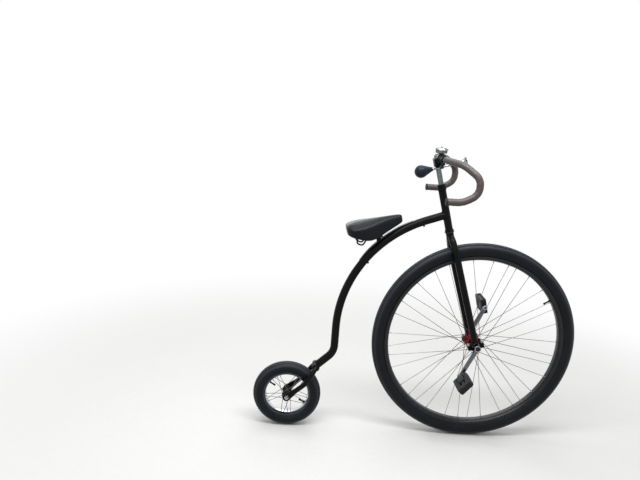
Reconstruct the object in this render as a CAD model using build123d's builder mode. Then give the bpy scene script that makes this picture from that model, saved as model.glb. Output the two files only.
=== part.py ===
from build123d import *
from math import cos, radians, sin, tan
import os

# Penny farthing bicycle with a 36-inch front wheel and a small rear wheel.
# +X forward, +Y to the rider's left, +Z up. The origin is on top of the saddle, where the rider sits.
# Sizes are in millimetres. Places named _x and _z below are measured from the ground
# straight under the front axle, as on a bench, and bench() turns them into the part's frame.

# Wheels
front_tyre_od = 914.0
front_tyre_width = 57.0
front_tyre_height = 55.0    # from the rim's edge to the tread
front_rim_height = 19.0
front_rim_width = 45.0
front_spoke_count = 36
rear_tyre_od = 308.0
rear_tyre_width = 56.0
rear_tyre_height = 45.0
rear_rim_height = 15.0
rear_rim_width = 38.0
rear_spoke_count = 20
rim_flange_t = 3.0
rim_floor_share = 0.55
spoke_d = 2.4
front_spoke_swing = 62.0    # degrees from a spoke's hole to its place on the rim
rear_spoke_swing = 50.0
front_valve_angle = 34.0
rear_valve_angle = 149.0
rear_stub_angle = 332.0     # a second dark stub, across the rim from the valve
valve_length = 30.0
valve_d = 8.0
valve_cap_d = 9.2
valve_cap_length = 9.0
wheelbase = 822.0

front_r = front_tyre_od / 2
front_rim_inner_r = front_r - front_tyre_height - front_rim_height
rear_r = rear_tyre_od / 2
rear_rim_inner_r = rear_r - rear_tyre_height - rear_rim_height

# Steering geometry
head_tilt = 16.5            # degrees, head tube back from vertical
fork_rake = 17.5            # hub ahead of the steering axis
head_tube_od = 33.0
head_tube_wall = 2.0
head_tube_bottom = front_r + 78.0   # along the steering axis, from the foot beside the hub
head_tube_length = 174.0
cup_od = 38.0
cup_height = 8.0
race_od = 42.0
race_height = 4.0
locknut_af = 34.0
locknut_height = 17.0
steerer_od = 25.4
quill_od = 22.2
bearing_gap = 0.3           # between the turning and the fixed ring of a headset bearing

# Front fork
fork_leg_od = 29.0
fork_leg_spread = 103.0     # centre to centre
fork_shoulder_up = 30.0     # the legs spread from here above the tyre
fork_shoulder_share = 0.60
fork_drop = 90.0            # and run straight from here below its top
fork_leg_bends = [45.0, 60.0, 200.0]
fork_crown_od = 34.0
tyre_clearance = 6.0
holder_width = 18.0
holder_od = 46.0
holder_bolt_pitch = 58.0
holder_ear_h = 11.0
bearing_od = 32.0
split_gap = 1.0
spindle_running_gap = 0.3

# Front hub, cranks and pedals
hub_flange_r = 34.0
hub_flange_spacing = 52.0
hub_flange_t = 3.4
hub_barrel_r = 20.0
hub_hole_circle_r = 29.5
hub_end_r = 17.0
hub_end_gap = 6.0
spindle_d = 17.0
taper_square = 12.0
crank_length = 150.0
crank_angle = 24.0          # degrees, right crank back from straight down
crank_boss_od = 30.0
crank_boss_length = 24.0
crank_arm_t = 12.0
crank_root_half = 8.5
crank_tip_half = 7.5
crank_eye_od = 22.0
crank_clearance = 2.5       # between the bearing holder and the crank
crank_puller_r = 11.0
crank_puller_depth = 9.0
pedal_length = 70.0
pedal_width = 100.0
pedal_height = 26.0
pedal_tilts = {"right": 50.0, "left": 105.0}    # degrees, front edge up
pedal_window = 30.0
pedal_window_out = 14.0     # from the middle of the pedal
pedal_barrel_d = 17.0
pedal_slot = 4.0            # beside the block round the spindle
pedal_slot_length = 34.0
pedal_slot_fore = 18.0
pedal_slot_in = 21.0
pedal_recess_rim = 6.0      # round the reflector recess in each end
pedal_recess_side = 17.0
pedal_recess_depth = 5.0
pedal_spindle_d = 11.0
pedal_gap = 4.0
pedal_cap_t = 6.0
pedal_running_gap = 0.3

# Frame
backbone_od = 35.0
backbone_slope = 20.5       # degrees down from the head tube
backbone_back_x = -front_r - 165.0      # centre line of the part behind the front wheel
backbone_joint_s = 600.5    # on the steering axis
backbone_bend_r = 545.0
kink_z = 368.0
kink_bend_r = 75.0
backbone_end_x = -712.0
backbone_end_z = 282.0
rear_leg_od = 22.0
rear_leg_spread = 92.0
rear_leg_top_drop = 8.0      # below the end of the backbone
rear_leg_bend_x = -746.0
rear_leg_bend_z = 220.0
rear_crown_od = 28.0
dropout_t = 6.0
dropout_r = 18.0
rear_axle_d = 10.0
axle_nut_af = 15.0
axle_nut_t = 9.0
axle_stub = 4.0
rear_hub_gap = 6.0
rear_flange_r = 22.0
rear_flange_spacing = 52.0
rear_flange_t = 3.0
rear_barrel_r = 12.0
rear_hole_circle_r = 18.5
rear_hub_end_r = 14.0

# Saddle
saddle_x = -500.0
saddle_z = 992.0
saddle_tilt = 13.0
saddle_rail_d = 7.0
saddle_rail_spread = 44.0
saddle_pad = 13.0
saddle_base_t = 4.0
saddle_bar_t = 4.5          # above the backbone
saddle_bar_sink = 3.0       # its underside follows the tube
saddle_bar_width = 18.0
saddle_bar_front = 116.5    # degrees round the backbone's long bend
saddle_bar_back = 146.0
saddle_bar_taper = 6.5
saddle_bar_tip = 1.0
saddle_bar_shoulder = 0.62  # height left half way down each taper
clamp_forward = 11.0
clamp_below = 74.5
clamp_length = 34.0
clamp_height = 17.0
clamp_wall = 4.5
clamp_post_d = 20.0
guide_angles = (112.5, 144.4)   # bosses under the backbone, degrees round its long bend
guide_d = 8.0
guide_height = 5.0

# Handlebar, stem, horn and bell
bar_od = 25.4
tape_od = 30.0
bar_half_width = 208.0
bar_centre_x = -240.0
bar_centre_z = 1266.0
bar_reach = 120.0
bar_drop = 151.0
bare_half = 88.0            # bare tube each side of the middle
plug_length = 6.0
stem_head_od = 38.0
stem_head_width = 46.0
stem_block = 42.0               # block under the bar, on the quill
stem_block_fore = 7.0           # its middle, ahead of the steering axis
stem_block_under = 15.0         # and below the bar
stem_block_corner = 7.0
horn_y = -36.0
horn_tilt = 17.5
horn_drop = 33.0            # below the bar
horn_back = 38.0            # from the bracket to the bulb
horn_front = 104.0          # from the bracket to the mouth
horn_flare = 60.0
horn_mouth_r = 25.0
horn_tube_r = 5.0
horn_wall = 1.5
bracket_width = 10.0
bracket_wall = 3.5
bulb_neck = 22.0
bulb_neck_r = 9.0
bulb_d = 54.0
bell_d = 56.0
bell_height = 22.0
bell_lift = 4.0

seat = 0.3                  # gap between pieces that are bolted, pressed or laid together

holder_y = fork_leg_spread / 2
crank_inner_y = holder_y + holder_width / 2 + crank_clearance
headset_height = 2 * cup_height + race_height + locknut_height + bearing_gap * 2 + seat * 3
steerer_length = head_tube_length + headset_height
quill_depth_from_crown = 90.0


def bench(x, y, z):
    return Vector(x - saddle_x, y, z - saddle_z)


front_axle = bench(0, 0, front_r)
rear_axle_centre = bench(-wheelbase, 0, rear_r)
tilt = radians(head_tilt)
steer_foot = front_axle - Vector(cos(tilt), 0, sin(tilt)) * fork_rake
steering = Plane(origin=steer_foot, x_dir=(cos(tilt), 0, sin(tilt)), z_dir=(-sin(tilt), 0, cos(tilt)))


def on_steering(forward, left, up):
    return steering.from_local_coords(Vector(forward, left, up))


# Half section of a wheel part, radius along X and width along Y, turned about the axle
def half_section(centre):
    return Plane(origin=centre, x_dir=(1, 0, 0), z_dir=(0, 0, 1))


def axle_axis(centre):
    return Axis(centre, (0, 1, 0))


os.makedirs("parts", exist_ok=True)


def save(builder, name):
    builder.part.label = name
    export_step(builder.part, f"parts/{name}.step")


# Tyres: round casing whose bead sits between the rim's flanges
def make_tyre(centre, outer_r, width, rim_inner_r, rim_height, rim_width, name):
    floor_r = rim_inner_r + rim_height * rim_floor_share
    bead_width = rim_width - 2 * rim_flange_t - 2 * seat
    with BuildPart() as tyre:
        with BuildSketch(half_section(centre)):
            with Locations((outer_r - width / 2, 0)):
                Circle(width / 2)
            with Locations((rim_inner_r + rim_height + seat, 0)):
                Rectangle(width, width, align=(Align.MAX, Align.CENTER), mode=Mode.SUBTRACT)
            with Locations((floor_r + seat, 0)):
                Rectangle(rim_height, bead_width, align=(Align.MIN, Align.CENTER))
        revolve(axis=axle_axis(centre))
    save(tyre, name)


# Rim: box section with two upstanding flanges
def make_rim(centre, inner_r, height, width, name):
    floor = inner_r + height * rim_floor_share
    shoulder = floor - rim_flange_t
    outer = inner_r + height
    with BuildPart() as rim:
        with BuildSketch(half_section(centre)):
            with BuildLine():
                Polyline(
                    (inner_r, -width * 0.3),
                    (inner_r, width * 0.3),
                    (shoulder, width / 2),
                    (outer, width / 2),
                    (outer, width / 2 - rim_flange_t),
                    (floor, width / 2 - rim_flange_t),
                    (floor, -width / 2 + rim_flange_t),
                    (outer, -width / 2 + rim_flange_t),
                    (outer, -width / 2),
                    (shoulder, -width / 2),
                    close=True,
                )
            make_face()
        revolve(axis=axle_axis(centre))
    save(rim, name)


# Straight spokes laid against the flanges, half of them leading and half trailing
def make_spokes(centre, count, hole_r, flange_r, flange_y, flange_t, rim_inner_r, swing, name):
    side_count = count // 2
    lay = flange_t / 2 + spoke_d / 2 + seat
    reach = rim_inner_r - seat - spoke_d / 2 * hole_r / rim_inner_r
    with BuildPart() as spokes:
        for side in (1, -1):
            for index in range(side_count):
                leading = 1 if index % 2 == 0 else -1
                hole_angle = radians(360.0 / side_count * (index + side * 0.25))
                rim_angle = hole_angle + radians(leading * swing)
                clear_edge = lay
                if leading > 0:
                    clear_edge += flange_y * (flange_r - hole_r) * 4 / rim_inner_r
                hub_y = side * (flange_y + leading * clear_edge)
                rim_y = side * (4.0 + leading * 0.3)
                start = centre + Vector(hole_r * cos(hole_angle), hub_y, hole_r * sin(hole_angle))
                end = centre + Vector(reach * cos(rim_angle), rim_y, reach * sin(rim_angle))
                with BuildSketch(Plane(origin=start, z_dir=end - start)):
                    Circle(spoke_d / 2)
                extrude(amount=(end - start).length)
    save(spokes, name)


# Flanged hub shell with a hole for each spoke
def make_hub(centre, flange_r, flange_y, flange_t, barrel_r, end_r, end_y, bore_r, hole_r, count, name):
    with BuildPart() as hub:
        with BuildSketch(half_section(centre)):
            with BuildLine():
                Polyline(
                    (bore_r, -end_y),
                    (end_r, -end_y),
                    (end_r, -flange_y - flange_t / 2),
                    (flange_r, -flange_y - flange_t / 2),
                    (flange_r, -flange_y + flange_t / 2),
                    (barrel_r + 3, -flange_y + flange_t / 2),
                    (barrel_r, -flange_y + flange_t / 2 + 8),
                    (barrel_r, flange_y - flange_t / 2 - 8),
                    (barrel_r + 3, flange_y - flange_t / 2),
                    (flange_r, flange_y - flange_t / 2),
                    (flange_r, flange_y + flange_t / 2),
                    (end_r, flange_y + flange_t / 2),
                    (end_r, end_y),
                    (bore_r, end_y),
                    close=True,
                )
            make_face()
        revolve(axis=axle_axis(centre))
        for side in (1, -1):
            outside = centre + Vector(0, side * (flange_y + flange_t), 0)
            with BuildSketch(Plane(origin=outside, x_dir=(1, 0, 0), z_dir=(0, 1, 0))):
                start = 360.0 / (count // 2) * side * 0.25
                with PolarLocations(hole_r, count // 2, start_angle=-start):
                    Circle(spoke_d / 2)
            extrude(amount=-2 * side * flange_t, mode=Mode.SUBTRACT)
    save(hub, name)


# Valve stems standing in from the rim towards the axle, at angles seen from the right side
def make_valves(centre, rim_inner_r, angles, name):
    with BuildPart() as valve:
        for angle in angles:
            out = Vector(cos(radians(angle)), 0, sin(radians(angle)))
            root = centre + out * (rim_inner_r - seat)
            with BuildSketch(Plane(origin=root, z_dir=-out)):
                Circle(valve_d / 2)
            extrude(amount=valve_length - valve_cap_length)
            with BuildSketch(Plane(origin=root - out * (valve_length - valve_cap_length), z_dir=-out)):
                Circle(valve_cap_d / 2)
            extrude(amount=valve_cap_length)
    save(valve, name)


# Front wheel
make_tyre(
    front_axle, front_r, front_tyre_width, front_rim_inner_r, front_rim_height, front_rim_width,
    "front_tyre",
)
make_rim(front_axle, front_rim_inner_r, front_rim_height, front_rim_width, "front_rim")
make_spokes(
    front_axle, front_spoke_count, hub_hole_circle_r, hub_flange_r, hub_flange_spacing / 2, hub_flange_t,
    front_rim_inner_r, front_spoke_swing, "front_spokes",
)
make_hub(
    front_axle, hub_flange_r, hub_flange_spacing / 2, hub_flange_t, hub_barrel_r, hub_end_r,
    holder_y - holder_width / 2 - hub_end_gap, spindle_d / 2 + seat, hub_hole_circle_r,
    front_spoke_count, "front_hub",
)
make_valves(front_axle, front_rim_inner_r, [front_valve_angle], "front_valve")

# Spindle through the hub, square at its ends for the cranks
right_crank_dir = Vector(-sin(radians(crank_angle)), 0, -cos(radians(crank_angle)))
with BuildPart() as front_spindle:
    with BuildSketch(Plane(origin=front_axle, x_dir=(1, 0, 0), z_dir=(0, 1, 0))):
        Circle(spindle_d / 2)
    extrude(amount=crank_inner_y - seat, both=True)
    with BuildSketch(Plane(origin=front_axle, x_dir=right_crank_dir, z_dir=(0, 1, 0))):
        Rectangle(taper_square, taper_square)
    extrude(amount=crank_inner_y + crank_boss_length * 0.6, both=True)
save(front_spindle, "front_spindle")

# Cranks: boss with a puller recess, tapered arm and a drilled eye
pedal_eye = {
    "right": front_axle + right_crank_dir * crank_length,
    "left": front_axle - right_crank_dir * crank_length,
}
for name, side in (("right", -1), ("left", 1)):
    arm_dir = right_crank_dir * -side
    inner_middle = front_axle + Vector(0, side * crank_inner_y, 0)
    inner = Plane(origin=inner_middle, x_dir=arm_dir, z_dir=(0, side, 0))
    arm_start = crank_boss_length - crank_arm_t
    with BuildPart() as crank:
        with BuildSketch(inner):
            Circle(crank_boss_od / 2)
        extrude(amount=crank_boss_length)
        with BuildSketch(inner.offset(arm_start)):
            with BuildLine():
                Polyline(
                    (0, -crank_root_half),
                    (0, crank_root_half),
                    (crank_length, crank_tip_half),
                    (crank_length, -crank_tip_half),
                    close=True,
                )
            make_face()
            with Locations((crank_length, 0)):
                Circle(crank_eye_od / 2)
        extrude(amount=crank_arm_t)
        with BuildSketch(inner):
            Rectangle(taper_square + 2 * seat, taper_square + 2 * seat)
        extrude(amount=crank_boss_length, mode=Mode.SUBTRACT)
        with BuildSketch(inner.offset(crank_boss_length)):
            Circle(crank_puller_r)
        extrude(amount=-crank_puller_depth, mode=Mode.SUBTRACT)
        with BuildSketch(inner.offset(arm_start)):
            with Locations((crank_length, 0)):
                Circle(pedal_spindle_d / 2 + seat / 3)
        extrude(amount=crank_arm_t, mode=Mode.SUBTRACT)
    save(crank, f"crank_{name}")

# Bolts that hold the cranks, seen in the puller recesses
with BuildPart() as crank_bolts:
    for side in (1, -1):
        recess_y = crank_inner_y + crank_boss_length - crank_puller_depth + seat
        face = Plane(
            origin=front_axle + Vector(0, side * recess_y, 0),
            x_dir=(1, 0, 0),
            z_dir=(0, side, 0),
        )
        with BuildSketch(face):
            RegularPolygon(radius=crank_puller_r * 0.7, side_count=6)
        extrude(amount=crank_puller_depth * 0.6)
save(crank_bolts, "crank_bolts")

# Pedal spindles, screwed into the crank eyes
with BuildPart() as pedal_spindles:
    for name, side in (("right", -1), ("left", 1)):
        outer_face = crank_inner_y + crank_boss_length
        root = pedal_eye[name] + Vector(0, side * (outer_face - crank_arm_t), 0)
        base = Plane(origin=root, x_dir=(1, 0, 0), z_dir=(0, side, 0))
        with BuildSketch(base):
            Circle(pedal_spindle_d / 2)
        extrude(amount=crank_arm_t + pedal_gap + pedal_width - pedal_cap_t)
        with BuildSketch(base.offset(crank_arm_t + seat)):
            Circle(pedal_spindle_d / 2 + 2.5)
        extrude(amount=pedal_gap - 1.0)
save(pedal_spindles, "pedal_spindles")

# Pedals: moulded platform with a window crossed by the barrel, and a recess in each end
for name, side in (("right", -1), ("left", 1)):
    inner_y = crank_inner_y + crank_boss_length + pedal_gap
    middle = pedal_eye[name] + Vector(0, side * (inner_y + pedal_width / 2), 0)
    tilt = radians(pedal_tilts[name])
    fore = Vector(cos(tilt), 0, sin(tilt))
    top = Plane(origin=middle, x_dir=fore, z_dir=(-fore.Z, 0, fore.X))
    with BuildPart() as pedal:
        with BuildSketch(top):
            RectangleRounded(pedal_length, pedal_width, 10)
        extrude(amount=pedal_height / 2, both=True)
        with BuildSketch(top):
            with Locations((0, side * pedal_window_out)):
                RectangleRounded(pedal_window, pedal_window, 4)
            with Locations(*[(end * pedal_slot_fore, -side * pedal_slot_in) for end in (1, -1)]):
                RectangleRounded(pedal_slot, pedal_slot_length, 1.8)
        extrude(amount=pedal_height, both=True, mode=Mode.SUBTRACT)
        for end in (1, -1):
            edge_middle = middle + fore * (end * pedal_length / 2)
            with BuildSketch(Plane(origin=edge_middle, x_dir=(0, 1, 0), z_dir=fore * end)):
                RectangleRounded(pedal_width - 2 * pedal_recess_side, pedal_height - 2 * pedal_recess_rim, 3)
            extrude(amount=-pedal_recess_depth, mode=Mode.SUBTRACT)
        with BuildSketch(Plane(origin=middle, x_dir=(1, 0, 0), z_dir=(0, side, 0))):
            Circle(pedal_barrel_d / 2)
        extrude(amount=pedal_window_out + pedal_window / 2 + 1, both=True)
        with BuildSketch(Plane(origin=middle, x_dir=(1, 0, 0), z_dir=(0, side, 0))):
            Circle(pedal_spindle_d / 2 + pedal_running_gap)
        extrude(amount=pedal_width, both=True, mode=Mode.SUBTRACT)
        end = middle + Vector(0, side * pedal_width / 2, 0)
        with BuildSketch(Plane(origin=end, x_dir=(1, 0, 0), z_dir=(0, -side, 0))):
            Circle(pedal_spindle_d / 2 + 3)
        extrude(amount=pedal_cap_t - 1)
    save(pedal, f"pedal_{name}")

# Fork: crown boss, two legs swept round the tyre and the steerer tube above
leg_foot = front_axle
crown_top = on_steering(0, 0, head_tube_bottom - race_height - cup_height - bearing_gap - seat)
leg_up = (crown_top - leg_foot).normalized()
leg_plane = Plane(origin=leg_foot, x_dir=leg_up.cross(Vector(0, -1, 0)), z_dir=leg_up)
half_spread = fork_leg_spread / 2
crown_height = (crown_top - leg_foot).length
crown_plane = Plane(origin=crown_top, x_dir=steering.x_dir, z_dir=steering.z_dir)
with BuildPart() as fork:
    for side in (1, -1):
        points = [
            (0, side * 4.0, crown_height - fork_leg_od / 2 - 2),
            (0, side * half_spread * fork_shoulder_share, front_r + fork_shoulder_up),
            (0, side * (half_spread + 2.5), front_r - 17),
            (0, side * half_spread, front_r - fork_drop),
            (0, side * half_spread, holder_od / 2 - 2),
        ]
        corners = [leg_plane.from_local_coords(Vector(*p)) for p in points]
        with BuildLine() as leg_line:
            FilletPolyline(*corners, radius=fork_leg_bends)
        with BuildSketch(Plane(origin=leg_line.line @ 0, z_dir=leg_line.line % 0)):
            Circle(fork_leg_od / 2)
        sweep(path=leg_line.line)
    with BuildSketch(crown_plane):
        Circle(fork_crown_od / 2)
    extrude(amount=-(crown_height - front_r - tyre_clearance))
    with BuildSketch(crown_plane):
        Circle(steerer_od / 2)
    extrude(amount=steerer_length)
    with BuildSketch(crown_plane.offset(quill_depth_from_crown)):
        Circle(quill_od / 2 + seat / 3)
    extrude(amount=steerer_length, mode=Mode.SUBTRACT)
    holder_bores = Plane(origin=front_axle, x_dir=(1, 0, 0), z_dir=(0, 1, 0))
    with BuildSketch(holder_bores):
        Circle(holder_od / 2 + seat)
    extrude(amount=half_spread + fork_leg_od, both=True, mode=Mode.SUBTRACT)
save(fork, "fork")

# Split bearing holders at the leg ends: upper half on the leg, cap below, two bolts each
with BuildPart() as bearing_holders:
    for side in (1, -1):
        middle = leg_plane.from_local_coords(Vector(0, side * holder_y, 0))
        face = Plane(origin=middle, x_dir=leg_plane.x_dir, z_dir=(0, -1, 0))
        with BuildSketch(face):
            Circle(holder_od / 2)
            with Locations((0, split_gap / 2)):
                Rectangle(holder_bolt_pitch + 14, holder_ear_h, align=(Align.CENTER, Align.MIN))
            with Locations((0, split_gap / 2)):
                Rectangle(holder_od * 2, holder_od, align=(Align.CENTER, Align.MAX), mode=Mode.SUBTRACT)
            Circle(bearing_od / 2 + seat / 3, mode=Mode.SUBTRACT)
        extrude(amount=holder_width / 2, both=True)
save(bearing_holders, "bearing_holders")
with BuildPart() as bearing_caps:
    for side in (1, -1):
        middle = leg_plane.from_local_coords(Vector(0, side * holder_y, 0))
        face = Plane(origin=middle, x_dir=leg_plane.x_dir, z_dir=(0, -1, 0))
        with BuildSketch(face):
            Circle(holder_od / 2)
            with Locations((0, -split_gap / 2)):
                Rectangle(holder_bolt_pitch + 14, holder_ear_h, align=(Align.CENTER, Align.MAX))
            with Locations((0, -split_gap / 2)):
                Rectangle(holder_od * 2, holder_od, align=(Align.CENTER, Align.MIN), mode=Mode.SUBTRACT)
            Circle(bearing_od / 2 + seat / 3, mode=Mode.SUBTRACT)
        extrude(amount=holder_width / 2, both=True)
save(bearing_caps, "bearing_caps")
with BuildPart() as holder_bolts:
    for side in (1, -1):
        for fore in (1, -1):
            head = leg_plane.from_local_coords(
                Vector(fore * holder_bolt_pitch / 2, side * holder_y, split_gap / 2 + holder_ear_h + seat)
            )
            with BuildSketch(Plane(origin=head, x_dir=leg_plane.x_dir, z_dir=leg_up)):
                Circle(4.5)
            extrude(amount=6.0)
save(holder_bolts, "holder_bolts")
with BuildPart() as hub_bearings:
    for side in (1, -1):
        face = Plane(origin=front_axle + Vector(0, side * holder_y, 0), x_dir=(1, 0, 0), z_dir=(0, 1, 0))
        with BuildSketch(face):
            Circle(bearing_od / 2)
            Circle(spindle_d / 2 + spindle_running_gap, mode=Mode.SUBTRACT)
        extrude(amount=holder_width / 2 - 1, both=True)
save(hub_bearings, "hub_bearings")

# Headset rings
with BuildPart() as crown_race:
    with BuildSketch(crown_plane.offset(seat)):
        Circle(race_od / 2)
        Circle(steerer_od / 2 + seat / 3, mode=Mode.SUBTRACT)
    extrude(amount=race_height)
save(crown_race, "crown_race")
head_tube_top = head_tube_bottom + head_tube_length
with BuildPart() as headset_cups:
    for bottom in (head_tube_bottom - cup_height - seat / 3, head_tube_top + seat / 3):
        with BuildSketch(steering.offset(bottom)):
            Circle(cup_od / 2)
            Circle(steerer_od / 2 + 0.8, mode=Mode.SUBTRACT)
        extrude(amount=cup_height)
save(headset_cups, "headset_cups")
locknut_bottom = head_tube_top + cup_height + bearing_gap + seat
with BuildPart() as locknut:
    with BuildSketch(steering.offset(locknut_bottom)):
        Circle(cup_od / 2 - 1)
        Circle(steerer_od / 2 + seat / 3, mode=Mode.SUBTRACT)
    extrude(amount=locknut_height * 0.45)
    with BuildSketch(steering.offset(locknut_bottom + locknut_height * 0.45)):
        RegularPolygon(radius=locknut_af / 2, side_count=8, major_radius=False)
        Circle(steerer_od / 2 + seat / 3, mode=Mode.SUBTRACT)
    extrude(amount=locknut_height * 0.55)
save(locknut, "locknut")

# Head tube
with BuildPart() as head_tube:
    with BuildSketch(steering.offset(head_tube_bottom)):
        Circle(head_tube_od / 2)
        Circle(head_tube_od / 2 - head_tube_wall, mode=Mode.SUBTRACT)
    extrude(amount=head_tube_length)
save(head_tube, "head_tube")

# Backbone: straight off the head tube, one long bend round the wheel, a short kink to the rear fork
joint = steering.origin + steering.z_dir * backbone_joint_s
joint_to_vertical = (backbone_back_x - saddle_x) - joint.X
bend_corner_z = joint.Z + joint_to_vertical * tan(radians(backbone_slope))
bend_corner = Vector(backbone_back_x - saddle_x, 0, bend_corner_z)
kink_corner = bench(backbone_back_x, 0, kink_z)
bend_start_run = backbone_bend_r * tan(radians(90 - backbone_slope) / 2)
bend_centre = Vector(bend_corner.X + backbone_bend_r, 0, bend_corner.Z - bend_start_run)
backbone_end = bench(backbone_end_x, 0, backbone_end_z)
with BuildPart() as backbone:
    with BuildLine() as backbone_line:
        FilletPolyline(
            joint, bend_corner, kink_corner, backbone_end, radius=[backbone_bend_r, kink_bend_r]
        )
    with BuildSketch(Plane(origin=joint, z_dir=backbone_line.line % 0)):
        Circle(backbone_od / 2)
    sweep(path=backbone_line.line)
    for angle in guide_angles:
        inward = Vector(-cos(radians(angle)), 0, -sin(radians(angle)))
        with BuildSketch(Plane(origin=bend_centre - inward * backbone_bend_r, z_dir=inward)):
            Circle(guide_d / 2)
        extrude(amount=backbone_od / 2 + guide_height)
    with BuildSketch(steering.offset(head_tube_bottom)):
        Circle(head_tube_od / 2 + seat / 10)
    extrude(amount=head_tube_length, mode=Mode.SUBTRACT)
save(backbone, "backbone")

# Rear fork: cross tube at the foot of the backbone, two legs and dropout plates
end_dir = (backbone_end - kink_corner).normalized()
rear_bend = bench(rear_leg_bend_x, 0, rear_leg_bend_z)
rear_down = (rear_axle_centre - rear_bend).normalized()
rear_half = rear_leg_spread / 2
with BuildPart() as rear_fork:
    for side in (1, -1):
        points = [
            backbone_end - end_dir * 18 + Vector(0, side * (backbone_od / 2 + 4), 0),
            backbone_end + Vector(0, side * (rear_half + 1), -rear_leg_top_drop),
            rear_bend + Vector(0, side * rear_half, 0),
            rear_axle_centre - rear_down * (dropout_r + 24) + Vector(0, side * rear_half, 0),
        ]
        with BuildLine() as rear_leg:
            FilletPolyline(*points, radius=60)
        with BuildSketch(Plane(origin=points[0], z_dir=rear_leg.line % 0)):
            Circle(rear_leg_od / 2)
        sweep(path=rear_leg.line)
        plate = Plane(
            origin=rear_axle_centre + Vector(0, side * (rear_half - dropout_t / 2), 0),
            x_dir=-rear_down,
            z_dir=(0, side, 0),
        )
        with BuildSketch(plate):
            Circle(dropout_r)
            with BuildLine():
                Polyline(
                    (0, -dropout_r),
                    (0, dropout_r),
                    (dropout_r + 34, rear_leg_od / 2),
                    (dropout_r + 34, -rear_leg_od / 2),
                    close=True,
                )
            make_face()
            Circle(rear_axle_d / 2 + seat / 3, mode=Mode.SUBTRACT)
        extrude(amount=dropout_t)
    cross = backbone_end - end_dir * 18
    with BuildSketch(Plane(origin=cross, x_dir=(1, 0, 0), z_dir=(0, 1, 0))):
        Circle(rear_crown_od / 2)
    extrude(amount=backbone_od / 2 + 10, both=True)
    with BuildSketch(Plane(origin=backbone_end + end_dir * 40, z_dir=-end_dir)):
        Circle(backbone_od / 2 + seat / 10)
    extrude(amount=110, mode=Mode.SUBTRACT)
save(rear_fork, "rear_fork")

# Rear wheel
make_tyre(
    rear_axle_centre, rear_r, rear_tyre_width, rear_rim_inner_r, rear_rim_height, rear_rim_width,
    "rear_tyre",
)
make_rim(rear_axle_centre, rear_rim_inner_r, rear_rim_height, rear_rim_width, "rear_rim")
make_spokes(
    rear_axle_centre, rear_spoke_count, rear_hole_circle_r, rear_flange_r, rear_flange_spacing / 2,
    rear_flange_t, rear_rim_inner_r, rear_spoke_swing, "rear_spokes",
)
make_hub(
    rear_axle_centre, rear_flange_r, rear_flange_spacing / 2, rear_flange_t, rear_barrel_r, rear_hub_end_r,
    rear_half - dropout_t / 2 - rear_hub_gap, rear_axle_d / 2 + spindle_running_gap, rear_hole_circle_r,
    rear_spoke_count, "rear_hub",
)
make_valves(rear_axle_centre, rear_rim_inner_r, [rear_valve_angle, rear_stub_angle], "rear_valve")

# Rear axle with its nuts and washers outside the dropouts, and cones inside them
with BuildPart() as rear_axle:
    with BuildSketch(Plane(origin=rear_axle_centre, x_dir=(1, 0, 0), z_dir=(0, 1, 0))):
        Circle(rear_axle_d / 2)
    extrude(amount=rear_half + dropout_t / 2 + axle_nut_t + axle_stub, both=True)
save(rear_axle, "rear_axle")
with BuildPart() as rear_axle_nuts:
    for side in (1, -1):
        outside = Plane(
            origin=rear_axle_centre + Vector(0, side * (rear_half + dropout_t / 2 + seat), 0),
            x_dir=(1, 0, 0),
            z_dir=(0, side, 0),
        )
        with BuildSketch(outside):
            Circle(axle_nut_af * 0.62)
            Circle(rear_axle_d / 2 + seat / 3, mode=Mode.SUBTRACT)
        extrude(amount=1.6)
        with BuildSketch(outside.offset(1.6)):
            RegularPolygon(radius=axle_nut_af / 2, side_count=6, major_radius=False)
            Circle(rear_axle_d / 2 + seat / 3, mode=Mode.SUBTRACT)
        extrude(amount=axle_nut_t - 1.6)
        inside = Plane(
            origin=rear_axle_centre + Vector(0, side * (rear_half - dropout_t / 2 - seat), 0),
            x_dir=(1, 0, 0),
            z_dir=(0, -side, 0),
        )
        with BuildSketch(inside):
            Circle(axle_nut_af * 0.55)
            Circle(rear_axle_d / 2 + seat / 3, mode=Mode.SUBTRACT)
        extrude(amount=rear_hub_gap - 2 * seat)
save(rear_axle_nuts, "rear_axle_nuts")

# Quill and stem head
bar_centre = bench(bar_centre_x, 0, bar_centre_z)
bar_on_steering = steering.to_local_coords(bar_centre)
quill_bottom = steering.to_local_coords(crown_top).Z + quill_depth_from_crown + seat
quill_top = bar_on_steering.Z - stem_head_od / 2
head_plane = Plane(origin=bar_centre, x_dir=steering.x_dir, z_dir=(0, -1, 0))
with BuildPart() as quill:
    with BuildSketch(steering.offset(quill_bottom)):
        Circle(quill_od / 2)
    extrude(amount=quill_top - quill_bottom)
save(quill, "quill")
with BuildPart() as stem_head:
    with BuildSketch(head_plane):
        Circle(stem_head_od / 2)
    extrude(amount=stem_head_width / 2, both=True)
    with BuildSketch(head_plane):
        with Locations((stem_block_fore - bar_on_steering.X, -stem_block_under)):
            RectangleRounded(stem_block, stem_block, stem_block_corner)
    extrude(amount=stem_head_width / 2 - 6, both=True)
    with BuildSketch(head_plane):
        Circle(bar_od / 2 + seat / 3)
    extrude(amount=stem_head_width, both=True, mode=Mode.SUBTRACT)
    with BuildSketch(steering.offset(quill_bottom)):
        Circle(quill_od / 2 + seat / 3)
    extrude(amount=quill_top - quill_bottom + seat / 3, mode=Mode.SUBTRACT)
save(stem_head, "stem_head")

# Handlebar: forward, out and up from the middle of the bar, for one side
bar_route = [
    (0, 0, 0),
    (0, 75, 0),
    (bar_reach / 2, bar_half_width - 44, -bar_drop * 0.06),
    (bar_reach, bar_half_width, -bar_drop * 0.36),
    (bar_reach, bar_half_width, -bar_drop * 0.77),
    (bar_reach / 2, bar_half_width, -bar_drop),
    (-1, bar_half_width, -bar_drop),
]
bar_bends = [85, 90, 49, 50, 95]


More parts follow.
